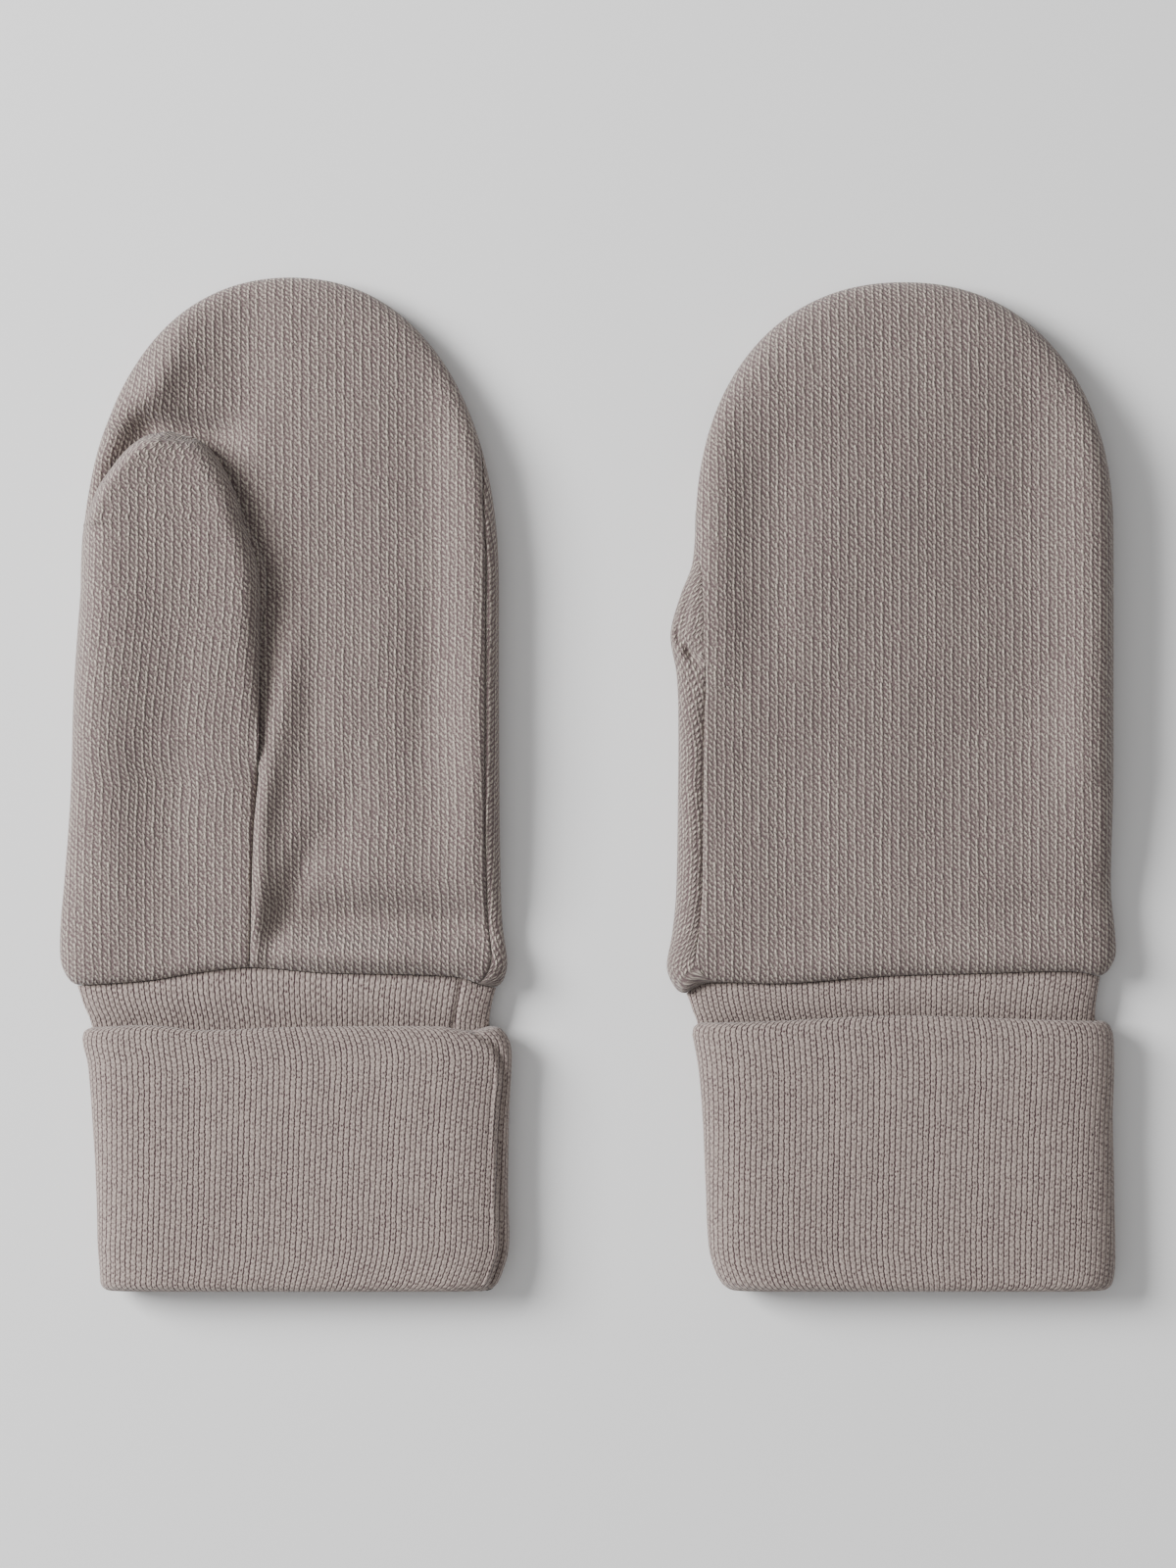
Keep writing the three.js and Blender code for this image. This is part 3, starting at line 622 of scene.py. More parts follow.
def dip_at_seams(outside, inside, start_depth, end_depth):
    """The outside of a wall, dipping towards its inside at the hem and at its two side seams."""
    across = arc_lengths(outside, 1)
    hem = dip(arc_lengths(outside, 0), HEM_DEPTH, HEM_ROUND)
    start = dip(across, start_depth, SEAM_ROUND)
    end = dip(across[:, -1:] - across, end_depth, SEAM_ROUND)
    share = np.maximum(hem, np.maximum(start, end))
    return mix(outside, inside, share[..., None])


def seam_depth(mitten, seam, y):
    return along(mitten[seam], "depth", y)


def half_gap(is_upper):
    """Half the gap between two panels: up for the upper panel, down for the lower one."""
    return (1 if is_upper else -1) * SEAM_GAP / 2


def hand_panel(mitten, from_angle, to_angle, from_depth, to_depth, is_upper):
    part = half_gap(is_upper)
    tip = mitten["dome_from"] + mitten["dome_length"]
    y = np.concatenate((lower_rows(), tip_rows(ABOVE_THUMB_Y, tip, TIP_ROWS)))[:, None]
    angle = mix(from_angle(y), to_angle(y), spread(COLUMNS, GATHER))
    faces = []
    for inset in (0.0, WALL):
        faces.append(on_hand(mitten, angle, inset_row(mitten, y, inset), inset=inset, part=part))
    outside, inside = faces
    return dip_at_seams(outside, inside, from_depth(y), to_depth(y)), inside


def back_panel(mitten):
    return hand_panel(
        mitten,
        lambda y: np.pi + seam_angle(mitten, "index_seam", y, SEAM_GAP / 2),
        lambda y: 2 * np.pi + seam_angle(mitten, "little_seam", y, -SEAM_GAP / 2),
        lambda y: seam_depth(mitten, "index_seam", y),
        lambda y: seam_depth(mitten, "little_seam", y) * STRIP_SHARE,
        is_upper=not mitten["palm_up"],
    )


def palm_panel(mitten):
    def thumb_side(y):
        below = along(THUMB_EDGE, "x", y)
        under = along(PALM_UNDER_THUMB, "x", y)
        edge = np.where(y < CROTCH_Y, below, under)
        angle = angle_at_x(mitten, edge + SEAM_GAP, y)
        return np.where(y >= ABOVE_THUMB_Y, np.pi, angle)

    return hand_panel(
        mitten,
        lambda y: seam_angle(mitten, "little_seam", y, SEAM_GAP / 2),
        thumb_side,
        lambda y: seam_depth(mitten, "little_seam", y),
        lambda y: np.where(y < ABOVE_THUMB_Y, SEAM_DEPTH, OUTLINE_DEPTH),
        is_upper=mitten["palm_up"],
    )


# Thumb

THUMB_ROWS = 34
THUMB_COLUMNS = 96
INNER_ROWS = 60
INNER_COLUMNS = 34
OUTLINE_STEPS = 60


def thumb_outline(rows):
    y = np.linspace(rows["y"][0], rows["y"][-1], OUTLINE_STEPS)
    return np.stack((along(rows, "x", y), y), axis=-1)


RIGHT_OUTLINE = thumb_outline(THUMB_EDGE)
FREE_OUTLINE = thumb_outline(THUMB_FREE_EDGE)


def thumb_raise(mitten, x, y, inset):
    """The thumb's height over a palm without creases. Its rim follows the creases of the palm."""
    dip_below = 0
    if mitten["palm_up"]:
        dip_below = crease_depth(mitten["creases"], x, y)
        dip_below = dip_below - crease_depth(mitten["thumb_creases"], x, y)
    over_inner = smooth_step((INNER_LEFT_X - INNER_FADE, INNER_LEFT_X), x)
    rim = THUMB_GAP + (THUMB_INNER + THUMB_GAP) * over_inner + inset - dip_below
    rim = rim * thumb_freedom(y)
    crown = THUMB_RISE * thumb_growth(y)
    slope = mix(THUMB_SLOPE, THUMB_ROUND, smooth_step((THUMB_FROM_Y, CROTCH_Y), y))
    inside = inset * INSIDE_ROUND
    kept = inset * thumb_freedom(y)
    right = distance_to(RIGHT_OUTLINE, x, y) - kept
    middle, _, half, _ = span(mitten, y)
    free = np.minimum(distance_to(FREE_OUTLINE, x, y), np.maximum(0, x - middle + half)) - kept
    free = free + (1 - side_freedom(y)) * THUMB_SLOPE
    rounded = np.minimum(
        quarter_round(right, slope - inside),
        quarter_round(free, THUMB_FREE_ROUND - inside),
    )
    return mix(rim, np.maximum(rim, crown), rounded)


def thumb_edges(mitten, y, inset):
    right = along(THUMB_EDGE, "x", y) - inset * thumb_freedom(y)
    middle, _, half, _ = span(mitten, y)
    outer = np.where(y < JUNCTION_Y, middle - half, along(THUMB_FREE_EDGE, "x", y))
    left = outer + inset * side_freedom(y)
    return np.minimum(left, right), np.maximum(left, right)


def thumb_panel(mitten):
    part = half_gap(mitten["palm_up"])
    y = np.concatenate((lower_rows(), tip_rows(JUNCTION_Y, THUMB_TIP_Y, THUMB_ROWS)))[:, None]
    faces = []
    for inset in (0.0, WALL):
        left, right = thumb_edges(mitten, y, inset)
        row = mix(y, y - inset, smooth_step((JUNCTION_Y, THUMB_TIP_Y), y))
        index_seam = np.pi + seam_angle(mitten, "index_seam", y, -SEAM_GAP / 2)
        start = np.where(y < JUNCTION_Y, index_seam, angle_at_x(mitten, left, row, inset))
        end = angle_at_x(mitten, right, row, inset)
        angle = mix(start, end, spread(THUMB_COLUMNS, GATHER))
        middle, _, half, _ = span(mitten, row, inset)
        x = middle + half * np.cos(angle)
        raised = np.where(np.sin(angle) > 0, thumb_raise(mitten, x, row + 0 * x, inset), 0)
        options = {"inset": inset, "part": part, "raised": raised, "free": edge_freedom(y)}
        faces.append(on_hand(mitten, angle, row, creases="thumb_creases", **options))
    outside, inside = faces
    index_depth = seam_depth(mitten, "index_seam", y) * (1 - side_freedom(y))
    return dip_at_seams(outside, inside, index_depth, SEAM_DEPTH * (1 - thumb_freedom(y))), inside


def thumb_inner(mitten):
    part = half_gap(mitten["palm_up"])
    low, high = CROTCH_Y + INNER_ABOVE_CROTCH, THUMB_TIP_Y - SEAM_GAP
    y = tip_rows(low, high, INNER_ROWS)[:, None]
    right = along(THUMB_EDGE, "x", y) + along(INNER_PEEK, "beyond", y)
    hidden = along(PALM_UNDER_THUMB, "x", y) + SEAM_GAP
    left = np.maximum(np.maximum(hidden, along(THUMB_FREE_EDGE, "x", y)), INNER_LEFT_X)
    x = mix(np.minimum(left, right - SEAM_GAP), right, np.linspace(0, 1, INNER_COLUMNS + 1))
    y = y + 0 * x
    faces = []
    edge = quarter_round(right - x, INNER_ROUND)
    for raised in (THUMB_GAP + THUMB_INNER * mix(INNER_EDGE, 1, edge), THUMB_GAP):
        z = height_on(mitten, x, y, True, 0.0, raised=raised, free=1.0, part=part)
        faces.append(np.stack((x, y + hem_arch(mitten, x, y), z), axis=-1))
    return faces


# Meshes

SHARP_FROM = np.radians(65)
MERGE_WITHIN = 1e-6  # metres
TIP_WRAP = 0.6  # how much of the way down the fingertips' edge counts as cloth


def shell_faces(rows, columns):
    """Quads of a closed shell: an outside grid, an inside grid after it, and the rim between them."""
    at = np.arange(rows * columns).reshape(rows, columns)
    under = at + rows * columns
    sides = [
        (at[:-1, :-1], at[:-1, 1:], at[1:, 1:], at[1:, :-1]),
        (under[:-1, :-1], under[1:, :-1], under[1:, 1:], under[:-1, 1:]),
        (at[:-1, 0], at[1:, 0], under[1:, 0], under[:-1, 0]),
        (at[1:, -1], at[:-1, -1], under[:-1, -1], under[1:, -1]),
        (at[0, 1:], at[0, :-1], under[0, :-1], under[0, 1:]),
        (at[-1, :-1], at[-1, 1:], under[-1, 1:], under[-1, :-1]),
    ]
    return np.concatenate([np.stack(side, axis=-1).reshape(-1, 4) for side in sides])


def volume_of(points, faces):
    """Six times the volume within the quads, below 0 where they face inwards."""
    a, b, c, d = (points[faces[:, corner]] for corner in range(4))
    return np.sum(a * np.cross(b, c)) + np.sum(a * np.cross(c, d))


def add_mesh(name, points, faces, knit, centre, material):
    """One object from points in millimetres, faces and the knit's coordinates at each corner."""
    if volume_of(points, faces) < 0:
        faces = faces[:, ::-1]
        knit = knit[:, ::-1]
    mesh = bpy.data.meshes.new(name)
    placed = (points + (centre, 0, 0)) * MM
    mesh.from_pydata(placed.tolist(), [], faces.tolist())
    layer = mesh.uv_layers.new(name="knit")
    layer.data.foreach_set("uv", knit.reshape(-1).astype(np.float32))
    mesh.materials.append(material)
    merge_points(mesh)
    mesh.shade_smooth()
    mesh.set_sharp_from_angle(angle=SHARP_FROM)
    return add_object(name, mesh)


def merge_points(mesh):
    work = bmesh.new()
    work.from_mesh(mesh)
    bmesh.ops.remove_doubles(work, verts=work.verts, dist=MERGE_WITHIN)
    bmesh.ops.dissolve_degenerate(work, edges=work.edges, dist=MERGE_WITHIN)
    work.to_mesh(mesh)
    work.free()


def tip_wrap(mitten, x, y):
    """How much further the cloth runs than y does, where it rounds over at the fingertips."""
    middle, full, _, up = span(mitten, y)
    across = np.clip(np.abs(x - middle) / full, 0, 1) ** (DOME_POWER - 1) / full
    upwards = up ** (DOME_POWER - 1) / mitten["dome_length"]
    share = upwards / np.maximum(np.hypot(across, upwards), TINY)
    return TIP_WRAP * HAND_HEIGHT / 2 * (1 - fullness(mitten, x, y, 0.0)) * share


def knit_coordinates(mitten, outside):
    """Stitch counts over a grid: legs across from the middle line, courses up from the hem."""
    x, y = outside[..., 0], outside[..., 1]
    turned = -1 if x[0, 0] > x[0, -1] else 1
    across = turned * arc_lengths(outside, 1)
    nearest = np.argmin(np.abs(x), axis=1)[:, None]
    u = across - np.take_along_axis(across, nearest, 1) + np.take_along_axis(x, nearest, 1)
    v = y + tip_wrap(mitten, x, y)
    return np.stack((u / LEG, v / COURSE), axis=-1)


def add_shell(name, mitten, outside, inside, material):
    """A panel as a closed shell. The knit runs on over its rim."""
    rows, columns = outside.shape[:2]
    points = np.concatenate((outside.reshape(-1, 3), inside.reshape(-1, 3)))
    faces = shell_faces(rows, columns)
    knit = knit_coordinates(mitten, outside).reshape(-1, 2)
    knit = np.concatenate((knit, knit))
    corners = knit[faces]
    is_inside = faces >= rows * columns
    rim = is_inside.any(axis=1) & ~is_inside.all(axis=1)
    corners[rim[:, None] & is_inside] += WALL / LEG
    return add_mesh(name, points, faces, corners, mitten["centre"], material)


# Cuff, one tube as rings: down the inside from the wrist band's end, round the lower fold, up the
# turned-up outside, over its top edge, down behind that edge and up the band's outside

WALE_POINTS = 4
RING_POINTS = 1440
CUFF_ROW_SPACING = 1.1
CUFF_INSIDE_SPACING = 3.0
FOLD_ROWS = 14
TOP_FOLD_ROWS = 10
GROOVE = 0.08  # depth of the grooves between the cuff's wales


def cuff_ring(limits, y, low, high, inset, wales):
    """One ring with a fixed number of points to each wale, evenly spaced along it."""
    left, right = limits
    middle = (left + right) / 2
    half = (right - left) / 2 - inset
    centre = (low + high) / 2
    angle = np.linspace(0, 2 * np.pi, RING_POINTS + 1)
    full = np.sqrt(1 - np.abs(np.cos(angle)) ** CUFF_EDGE_POWER)
    x = middle + half * np.cos(angle)
    top = centre + (high - inset - centre) * full
    bottom = np.maximum(low + inset, centre - (centre - low - inset + FLATTEN) * full)
    z = np.where(np.sin(angle) >= 0, top, bottom)
    arc = np.concatenate(([0], np.cumsum(np.hypot(np.diff(x), np.diff(z)))))
    count = wales * WALE_POINTS
    lean = CUFF_LEAN * (y - CUFF_LOW_Y)
    wanted = (arc[-1] * np.arange(count) / count - lean) % arc[-1]
    return np.stack((np.interp(wanted, arc, x), np.full(count, y), np.interp(wanted, arc, z)), -1)


def cuff_rings(mitten):
    """The rings, with how strongly each shows the grooves between wales: 1 outside, 0 hidden."""
    def limits(rows, y):
        return along(mitten[rows], "left", y), along(mitten[rows], "right", y)

    left, right = limits("cuff", GIRTH_Y)
    girth = 2 * (right - left + CUFF_HEIGHT) - GIRTH_ROUNDING
    wales = int(round(girth / CUFF_WALE))

    def band(y, inset):
        height = BAND_HIGH - BAND_DROP * np.exp(-max(0, y - CUFF_TOP_Y) / BAND_DROP_LENGTH)
        height = height - HEM_DROP * np.exp(-(HEM_Y - y) / HEM_DROP_LENGTH)
        return cuff_ring(limits("band", y), y, BAND_LOW, height, inset, wales)

    def turned(y, inset):
        height = CUFF_HEIGHT - CUFF_TAPER * np.exp((y - CUFF_TOP_Y) / CUFF_TAPER_LENGTH)
        return cuff_ring(limits("cuff", y), y, 0.0, height, inset, wales)

    band_top = HEM_Y - SEAM_GAP
    fold_radius = CUFF_LAYER + SEAM_GAP / 2
    top_centre = CUFF_TOP_Y - TOP_FOLD
    low_centre = CUFF_LOW_Y + fold_radius
    pocket = CUFF_TOP_Y - CUFF_POCKET
    rings = []
    for y in rows_between(pocket, band_top, CUFF_ROW_SPACING)[::-1]:
        rings.append((band(y, CUFF_LAYER), 0, "band"))
    for y in rows_between(low_centre, pocket, CUFF_INSIDE_SPACING)[::-1][1:-1]:
        rings.append((turned(y, 2 * fold_radius), 0, "cuff"))
    for turn in np.linspace(np.pi, 0, FOLD_ROWS + 1):
        y = low_centre - fold_radius * np.sin(turn)
        inset = fold_radius * (1 - np.cos(turn))
        rings.append((turned(y, inset), 1 if turn < np.pi / 2 else 0, "cuff"))
    for y in rows_between(low_centre, top_centre, CUFF_ROW_SPACING)[1:-1]:
        rings.append((turned(y, 0), 1, "cuff"))
    for turn in np.linspace(0, np.pi, TOP_FOLD_ROWS + 1):
        y = top_centre + TOP_FOLD * np.sin(turn)
        inset = CUFF_LAYER / 2 * (1 - np.cos(turn))
        rings.append((turned(y, inset), 1 if turn < np.pi / 2 else 0, "cuff"))
    rings.append((turned(pocket, CUFF_LAYER), 0, "cuff"))
    for y in rows_between(pocket, band_top, CUFF_ROW_SPACING):
        rings.append((band(y, 0), 1, "band"))
    return rings


def band_arch(mitten, points):
    """The wrist band's end follows the uneven line of the hem."""
    share = (points[..., 1] - CUFF_TOP_Y) / (HEM_Y - SEAM_GAP - CUFF_TOP_Y)
    return np.clip(share, 0, 1) * along(mitten["hem"], "rise", points[..., 0])


def fold_arch(mitten, points):
    """The cuff's top edge is a little uneven, and its form follows it some way down."""
    fade = np.exp(-(CUFF_TOP_Y - points[..., 1]) / FOLD_FADE)
    return fade * along(mitten["fold"], "rise", points[..., 0])


def with_seams(mitten, points, is_band):
    """Grooves for the seams of the cuff and the band on the side that lies up."""
    x, y, z = (points[..., axis] for axis in range(3))
    up = z > CUFF_HEIGHT / 2
    edge = along(mitten["cuff"], "right", y)
    from_cuff_seam = x - edge + along(mitten["cuff_seam"], "reach", y)
    from_band_seam = x - along(mitten["band_seam"], "x", y)
    on_cuff = CUFF_SEAM_DEPTH * np.exp(-((from_cuff_seam / CUFF_SEAM_WIDTH) ** 2))
    on_cuff = on_cuff - SEAM_RIDGE * np.exp(-(((from_cuff_seam + RIDGE_BESIDE) / RIDGE_WIDTH) ** 2))
    on_band = BAND_SEAM_DEPTH * np.exp(-((from_band_seam / BAND_SEAM_WIDTH) ** 2))
    depth = np.where(is_band, on_band, on_cuff) * up * mitten["palm_up"]
    return np.stack((x, y, z - depth), axis=-1)


def after_each(count):
    """The place after each one in a closed row."""
    return (np.arange(count) + 1) % count


def with_grooves(points, wale, shown):
    """The tube's points, sunk a little between the wales on the rings where that shows."""
    along_ring = points[:, after_each(points.shape[1])] - points
    along_rows = points[after_each(points.shape[0])] - points
    normal = np.cross(along_rows, along_ring)
    normal /= np.maximum(np.linalg.norm(normal, axis=-1, keepdims=True), TINY)
    groove = np.cos(np.pi * (wale % 1)) ** 2
    return points - normal * (GROOVE * shown * groove)[..., None]


def tube_faces(rows, count):
    """Quads of a tube whose rings are closed and whose last ring meets its first."""
    at = np.arange(rows * count).reshape(rows, count)
    beside = at[:, after_each(count)]
    onwards = after_each(rows)
    return np.stack((at, beside, beside[onwards], at[onwards]), axis=-1).reshape(-1, 4)


def tube_knit(points, wale):
    """Stitch counts at each quad's corners: wales round the tube, courses along it."""
    rows, count = points.shape[:2]
    steps = np.linalg.norm(np.diff(points[:, 0], axis=0), axis=-1)
    v = np.concatenate(([0], np.cumsum(steps))) / CUFF_COURSE
    v_after = np.append(v[1:], v[-1] + 1)
    wale_after = wale + 1 / WALE_POINTS
    places = ((wale, v), (wale_after, v), (wale_after, v_after), (wale, v_after))
    corners = np.empty((rows, count, len(places), 2))
    for corner, (across, up) in enumerate(places):
        corners[:, :, corner, 0] = across
        corners[:, :, corner, 1] = up[:, None]
    return corners.reshape(-1, len(places), 2)


def add_cuff(name, mitten, material):
    rings = cuff_rings(mitten)
    points = np.stack([ring for ring, _, _ in rings])
    shown = np.array([share for _, share, _ in rings], dtype=float)[:, None]
    is_band = np.array([part == "band" for _, _, part in rings])[:, None]
    points[..., 1] += np.where(is_band, band_arch(mitten, points), fold_arch(mitten, points))
    points = with_seams(mitten, points, is_band)
    rows, count = points.shape[:2]
    wale = np.arange(count) / WALE_POINTS
    points = with_grooves(points, wale, shown)
    knit = tube_knit(points, wale)
    faces = tube_faces(rows, count)
    return add_mesh(name, points.reshape(-1, 3), faces, knit, mitten["centre"], material)


# Knit of the hand. Its stitches are measured in legs across and courses up.

LIGHT_STRAND = (0.655, 0.583, 0.494)
# Colour towards which the knit is darkened where strands part: painted shade of the gaps between
# strands, which the bump only partly shades.
PAINTED_GAP_SHADE = (0.138, 0.096, 0.097)
LEG_SLANTS = (0.9, 0.3)  # how far a strand runs aside in one course, on a wale's two legs
STRAND_WIDTH = 0.28
STRAND_LENGTH = 0.5
STRAND_JITTER = 0.3
STRAND_LIGHT = (0.54, 0.5)  # least strength, and how much more there can be
WALE_GAP = 0.3  # half width of the darker slit between wales
# How much painted shade darkens the slit between wales.
WALE_SLIT_PAINTED_SHADE = 0.16
HAND_WANDER = 0.5
HAND_RELIEF = 0.4 * MM

# Knit of the cuff. Its stitches are measured in wales across and courses up.

CUFF_STRAND = (0.418, 0.348, 0.309)
# Colour of the grooves and dots: painted shade of these recesses in the knit.
CUFF_PAINTED_SHADE = (0.06, 0.026, 0.035)
CUFF_STAGGER = 0.35  # how far each wale's stitches lie above those of the wale before
GROOVE_WAVE = 0.05
GROOVE_WIDTH = 0.14
GROOVE_PAINTED_SHADE = (0.8, 0.22)  # the same for a groove
DOT_WIDTH = 0.2
DOT_HEIGHT = 0.27
DOT_PAINTED_SHADE = (0.3, 0.6)  # and for a dot
# The least share of painted shade, everywhere on the cuff.
CUFF_LEAST_PAINTED_SHADE = 0.05
CUFF_WANDER = 0.4
CUFF_RELIEF = 0.22 * MM

# The yarn of both

SURFACE = {
    "Roughness": 0.95,
    "Specular IOR Level": 0.25,
    "Sheen Weight": 0.25,
    "Sheen Roughness": 0.5,
}
WANDER_NOISE = {"Scale": 0.35, "Detail": 1.0}
TONE_NOISE = {"Scale": 0.06, "Detail": 3.0}
TONE_AMOUNT = 0.15
FUZZ_NOISE = {"Scale": 2.6, "Detail": 4.0}
FUZZ_AMOUNT = 2.0
FUZZ_HEIGHT = 0.35
BUMP_STRENGTH = 0.8


class Graph:
    """A material's nodes."""

    def __init__(self, name):
        self.material = bpy.data.materials.new(name)
        self.material.use_nodes = True
        self.tree = self.material.node_tree
        self.shader = self.tree.nodes["Principled BSDF"]
        for socket, value in SURFACE.items():
            self.shader.inputs[socket].default_value = value

    def node(self, kind, inputs, **settings):
        made = self.tree.nodes.new(kind)
        for key, value in settings.items():
            setattr(made, key, value)
        for key, value in inputs.items():
            self.feed(made.inputs[key], value)
        return made

    def feed(self, socket, value):
        if isinstance(value, bpy.types.NodeSocket):
            self.tree.links.new(value, socket)
        else:
            socket.default_value = value

    def math(self, operation, *values):
        made = self.node("ShaderNodeMath", {}, operation=operation)
        for socket, value in zip(made.inputs, values):
            self.feed(socket, value)
        return made.outputs[0]

    def noise(self, place, settings):
        return self.node("ShaderNodeTexNoise", {"Vector": place, **settings})

    def stitch_noise(self, column, row):
        """Random values that are the same all over one stitch."""
        cell = self.node("ShaderNodeCombineXYZ", {"X": column, "Y": row}).outputs[0]
        return self.node("ShaderNodeTexWhiteNoise", {"Vector": cell}, noise_dimensions="2D")

    def shift(self, value, amount):
        """A value between 0 and 1 as one on both sides of 0, amount wide in all."""
        return self.math("MULTIPLY", self.math("SUBTRACT", value, 0.5), amount)

    def strength(self, value, least, more):
        """A value between 0 and 1 as one from least to least plus more."""
        return self.math("ADD", self.math("MULTIPLY", value, more), least)

    def within(self, value):
        """A place within its own stitch, from the stitch's middle."""
        return self.math("SUBTRACT", self.math("FRACT", value), 0.5)

    def spot(self, *offsets):
        """1 in the middle of a spot, fading with the offsets, each given with its width."""
        squares = []
        for offset, width in offsets:
            share = self.math("DIVIDE", offset, width)
            squares.append(self.math("MULTIPLY", share, share))
        total = squares[0]
        for square in squares[1:]:
            total = self.math("ADD", total, square)
        return self.math("EXPONENT", self.math("MULTIPLY", total, -1.0))

    def colour(self, factor, a, b):
        made = self.node("ShaderNodeMix", {"Factor": factor}, data_type="RGBA")
        colours = [socket for socket in made.inputs if socket.type == "RGBA"]
        for socket, value in zip(colours, (a, b)):
            self.feed(socket, (*value, 1))
        return next(socket for socket in made.outputs if socket.type == "RGBA")

    def stitches(self, wander):
        """The place on the knit, and its two coordinates made a little irregular."""
        place = self.node("ShaderNodeUVMap", {}, uv_map="knit").outputs["UV"]
        parts = self.node("ShaderNodeSeparateXYZ", {"Vector": place})
        noise = self.noise(place, WANDER_NOISE)
        moves = self.node("ShaderNodeSeparateColor", {"Color": noise.outputs["Color"]})
        found = []
        for axis, move in zip("XY", (moves.outputs["Red"], moves.outputs["Green"])):
            found.append(self.math("ADD", parts.outputs[axis], self.shift(move, wander)))
        return place, *found

    def finish(self, place, painted_shade, strand, gap, height, depth):
        """Colours the knit from the strand's colour towards the gap's by its painted shade, adds patches
        and fuzz, and gives it relief.
        """
        tone = self.noise(place, TONE_NOISE).outputs["Fac"]
        fuzz = self.noise(place, FUZZ_NOISE).outputs["Fac"]
        # Painted shade of the knit's recesses, with random fuzz and patches added.
        mottled = self.math("ADD", painted_shade, self.shift(fuzz, FUZZ_AMOUNT))
        toned = self.math("ADD", mottled, self.shift(tone, TONE_AMOUNT))
        share = self.math("MINIMUM", self.math("MAXIMUM", toned, 0.0), 1.0)
        self.feed(self.shader.inputs["Base Color"], self.colour(share, strand, gap))
        rough = self.math("ADD", height, self.math("MULTIPLY", fuzz, FUZZ_HEIGHT))
        relief = {"Height": rough, "Distance": depth, "Strength": BUMP_STRENGTH}
        bump = self.node("ShaderNodeBump", relief)
        self.feed(self.shader.inputs["Normal"], bump.outputs["Normal"])
        return self.material


def hand_knit():
    """Plain knit: each leg of a wale shows light slanted strands, half a course off the next leg's, with
    painted shade between them.
    """
    graph = Graph("hand_knit")
    place, u, v = graph.stitches(HAND_WANDER)
    column = graph.math("FLOOR", u)
    stagger = graph.math("FRACT", graph.math("MULTIPLY", column, 0.5))
    height = graph.math("ADD", v, stagger)
    random = graph.stitch_noise(column, graph.math("FLOOR", height))
    moves = graph.node("ShaderNodeSeparateColor", {"Color": random.outputs["Color"]})
    aside = graph.shift(moves.outputs["Red"], STRAND_JITTER)
    x = graph.math("ADD", graph.within(u), aside)
    y = graph.within(height)
    less = graph.math("MULTIPLY", stagger, 2 * (LEG_SLANTS[0] - LEG_SLANTS[1]))
    slant = graph.math("SUBTRACT", LEG_SLANTS[0], less)
    slanted = graph.math("ADD", x, graph.math("MULTIPLY", y, slant))
    strand = graph.spot((slanted, STRAND_WIDTH), (y, STRAND_LENGTH))
    light = graph.math("MULTIPLY", strand, graph.strength(random.outputs["Value"], *STRAND_LIGHT))
    between = graph.spot((graph.math("PINGPONG", u, 1.0), WALE_GAP))
    slit = graph.math("MULTIPLY", between, WALE_SLIT_PAINTED_SHADE)
    # Off the strands and in the slits between wales, the colour takes painted shade.
    painted_shade = graph.math("ADD", graph.math("SUBTRACT", 1.0, light), slit)
    return graph.finish(place, painted_shade, LIGHT_STRAND, PAINTED_GAP_SHADE, light, HAND_RELIEF)


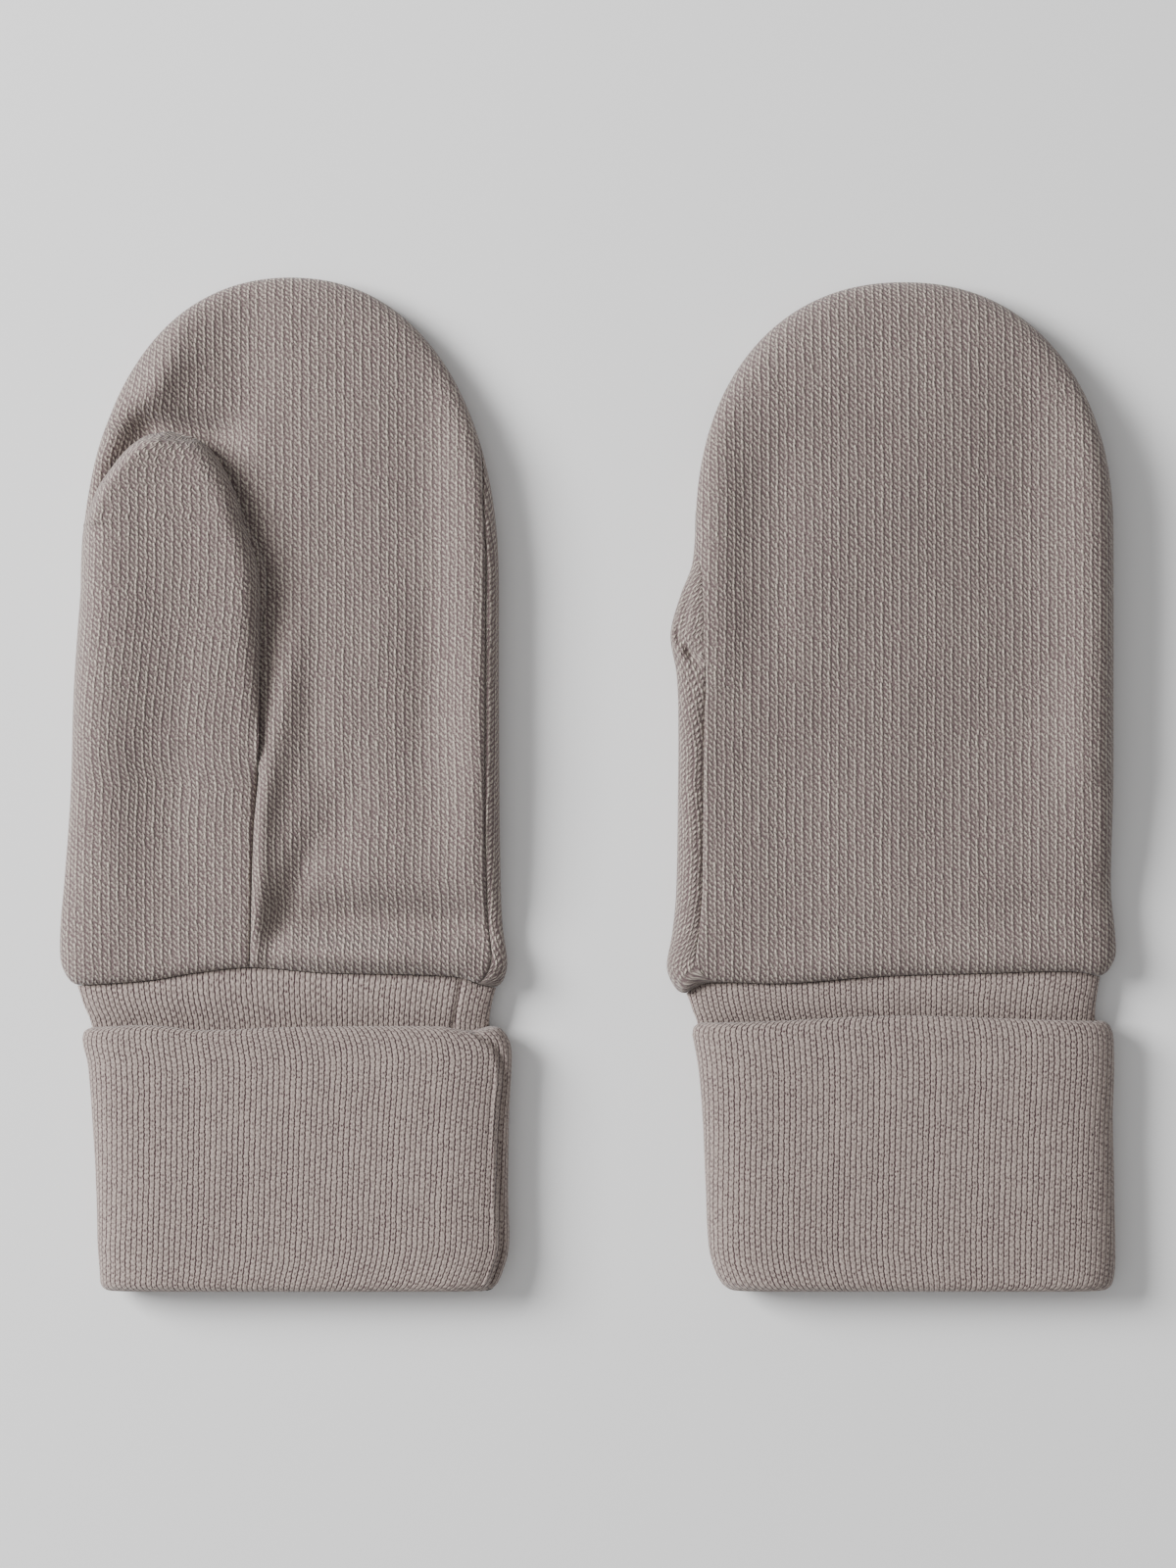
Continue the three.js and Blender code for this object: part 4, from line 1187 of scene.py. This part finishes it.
def cuff_knit():
    """Fine knit: a wavy groove between wales, and a small dot in the middle of each stitch, both sunk a
    little by the bump and darkened with painted shade.
    """
    graph = Graph("cuff_knit")
    place, u, v = graph.stitches(CUFF_WANDER)
    nearest = graph.math("FLOOR", graph.math("ADD", u, 0.5))
    phase = graph.math("SUBTRACT", v, graph.math("MULTIPLY", nearest, CUFF_STAGGER))
    sine = graph.math("SINE", graph.math("MULTIPLY", phase, 2 * np.pi))
    wave = graph.math("MULTIPLY", sine, GROOVE_WAVE)
    from_groove = graph.math("ADD", graph.math("SUBTRACT", u, nearest), wave)
    random = graph.stitch_noise(nearest, graph.math("FLOOR", phase))
    groove_shade = graph.strength(random.outputs["Value"], *GROOVE_PAINTED_SHADE)
    groove = graph.math("MULTIPLY", graph.spot((from_groove, GROOVE_WIDTH)), groove_shade)

    column = graph.math("FLOOR", u)
    height = graph.math("SUBTRACT", v, graph.math("MULTIPLY", column, CUFF_STAGGER))
    random = graph.stitch_noise(column, graph.math("FLOOR", height))
    dot_shade = graph.strength(random.outputs["Value"], *DOT_PAINTED_SHADE)
    dot = graph.spot((graph.within(u), DOT_WIDTH), (graph.within(height), DOT_HEIGHT))
    deep = graph.math("MAXIMUM", groove, graph.math("MULTIPLY", dot, dot_shade))

    # The grooves and dots take painted shade on top of their relief.
    painted_shade = graph.strength(deep, CUFF_LEAST_PAINTED_SHADE, 1 - CUFF_LEAST_PAINTED_SHADE)
    relief = graph.math("SUBTRACT", 1.0, deep)
    return graph.finish(place, painted_shade, CUFF_STRAND, CUFF_PAINTED_SHADE, relief, CUFF_RELIEF)


# Assembly

PANELS = {
    "back_panel": back_panel,
    "palm_panel": palm_panel,
    "thumb_panel": thumb_panel,
    "thumb_inner": thumb_inner,
}


def show(obj, side, panel):
    """Hangs a piece under the part's root body and hides the part's own solid for it."""
    node = f"{side}_{panel}"
    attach(obj, "root")
    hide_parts(node)


def add_mitten(mitten, hand_material, cuff_material):
    side = mitten["name"]
    for panel, shape in PANELS.items():
        outside, inside = shape(mitten)
        cloth = add_shell(f"{side}_{panel}_cloth", mitten, outside, inside, hand_material)
        show(cloth, side, panel)
    tube = add_cuff(f"{side}_cuff_tube", mitten, cuff_material)
    show(tube, side, "cuff")


add_camera()
add_world()
for light in LIGHTS:
    add_light(**light)
add_floor()
hand_material = hand_knit()
cuff_material = cuff_knit()
for mitten in MITTENS:
    add_mitten(mitten, hand_material, cuff_material)
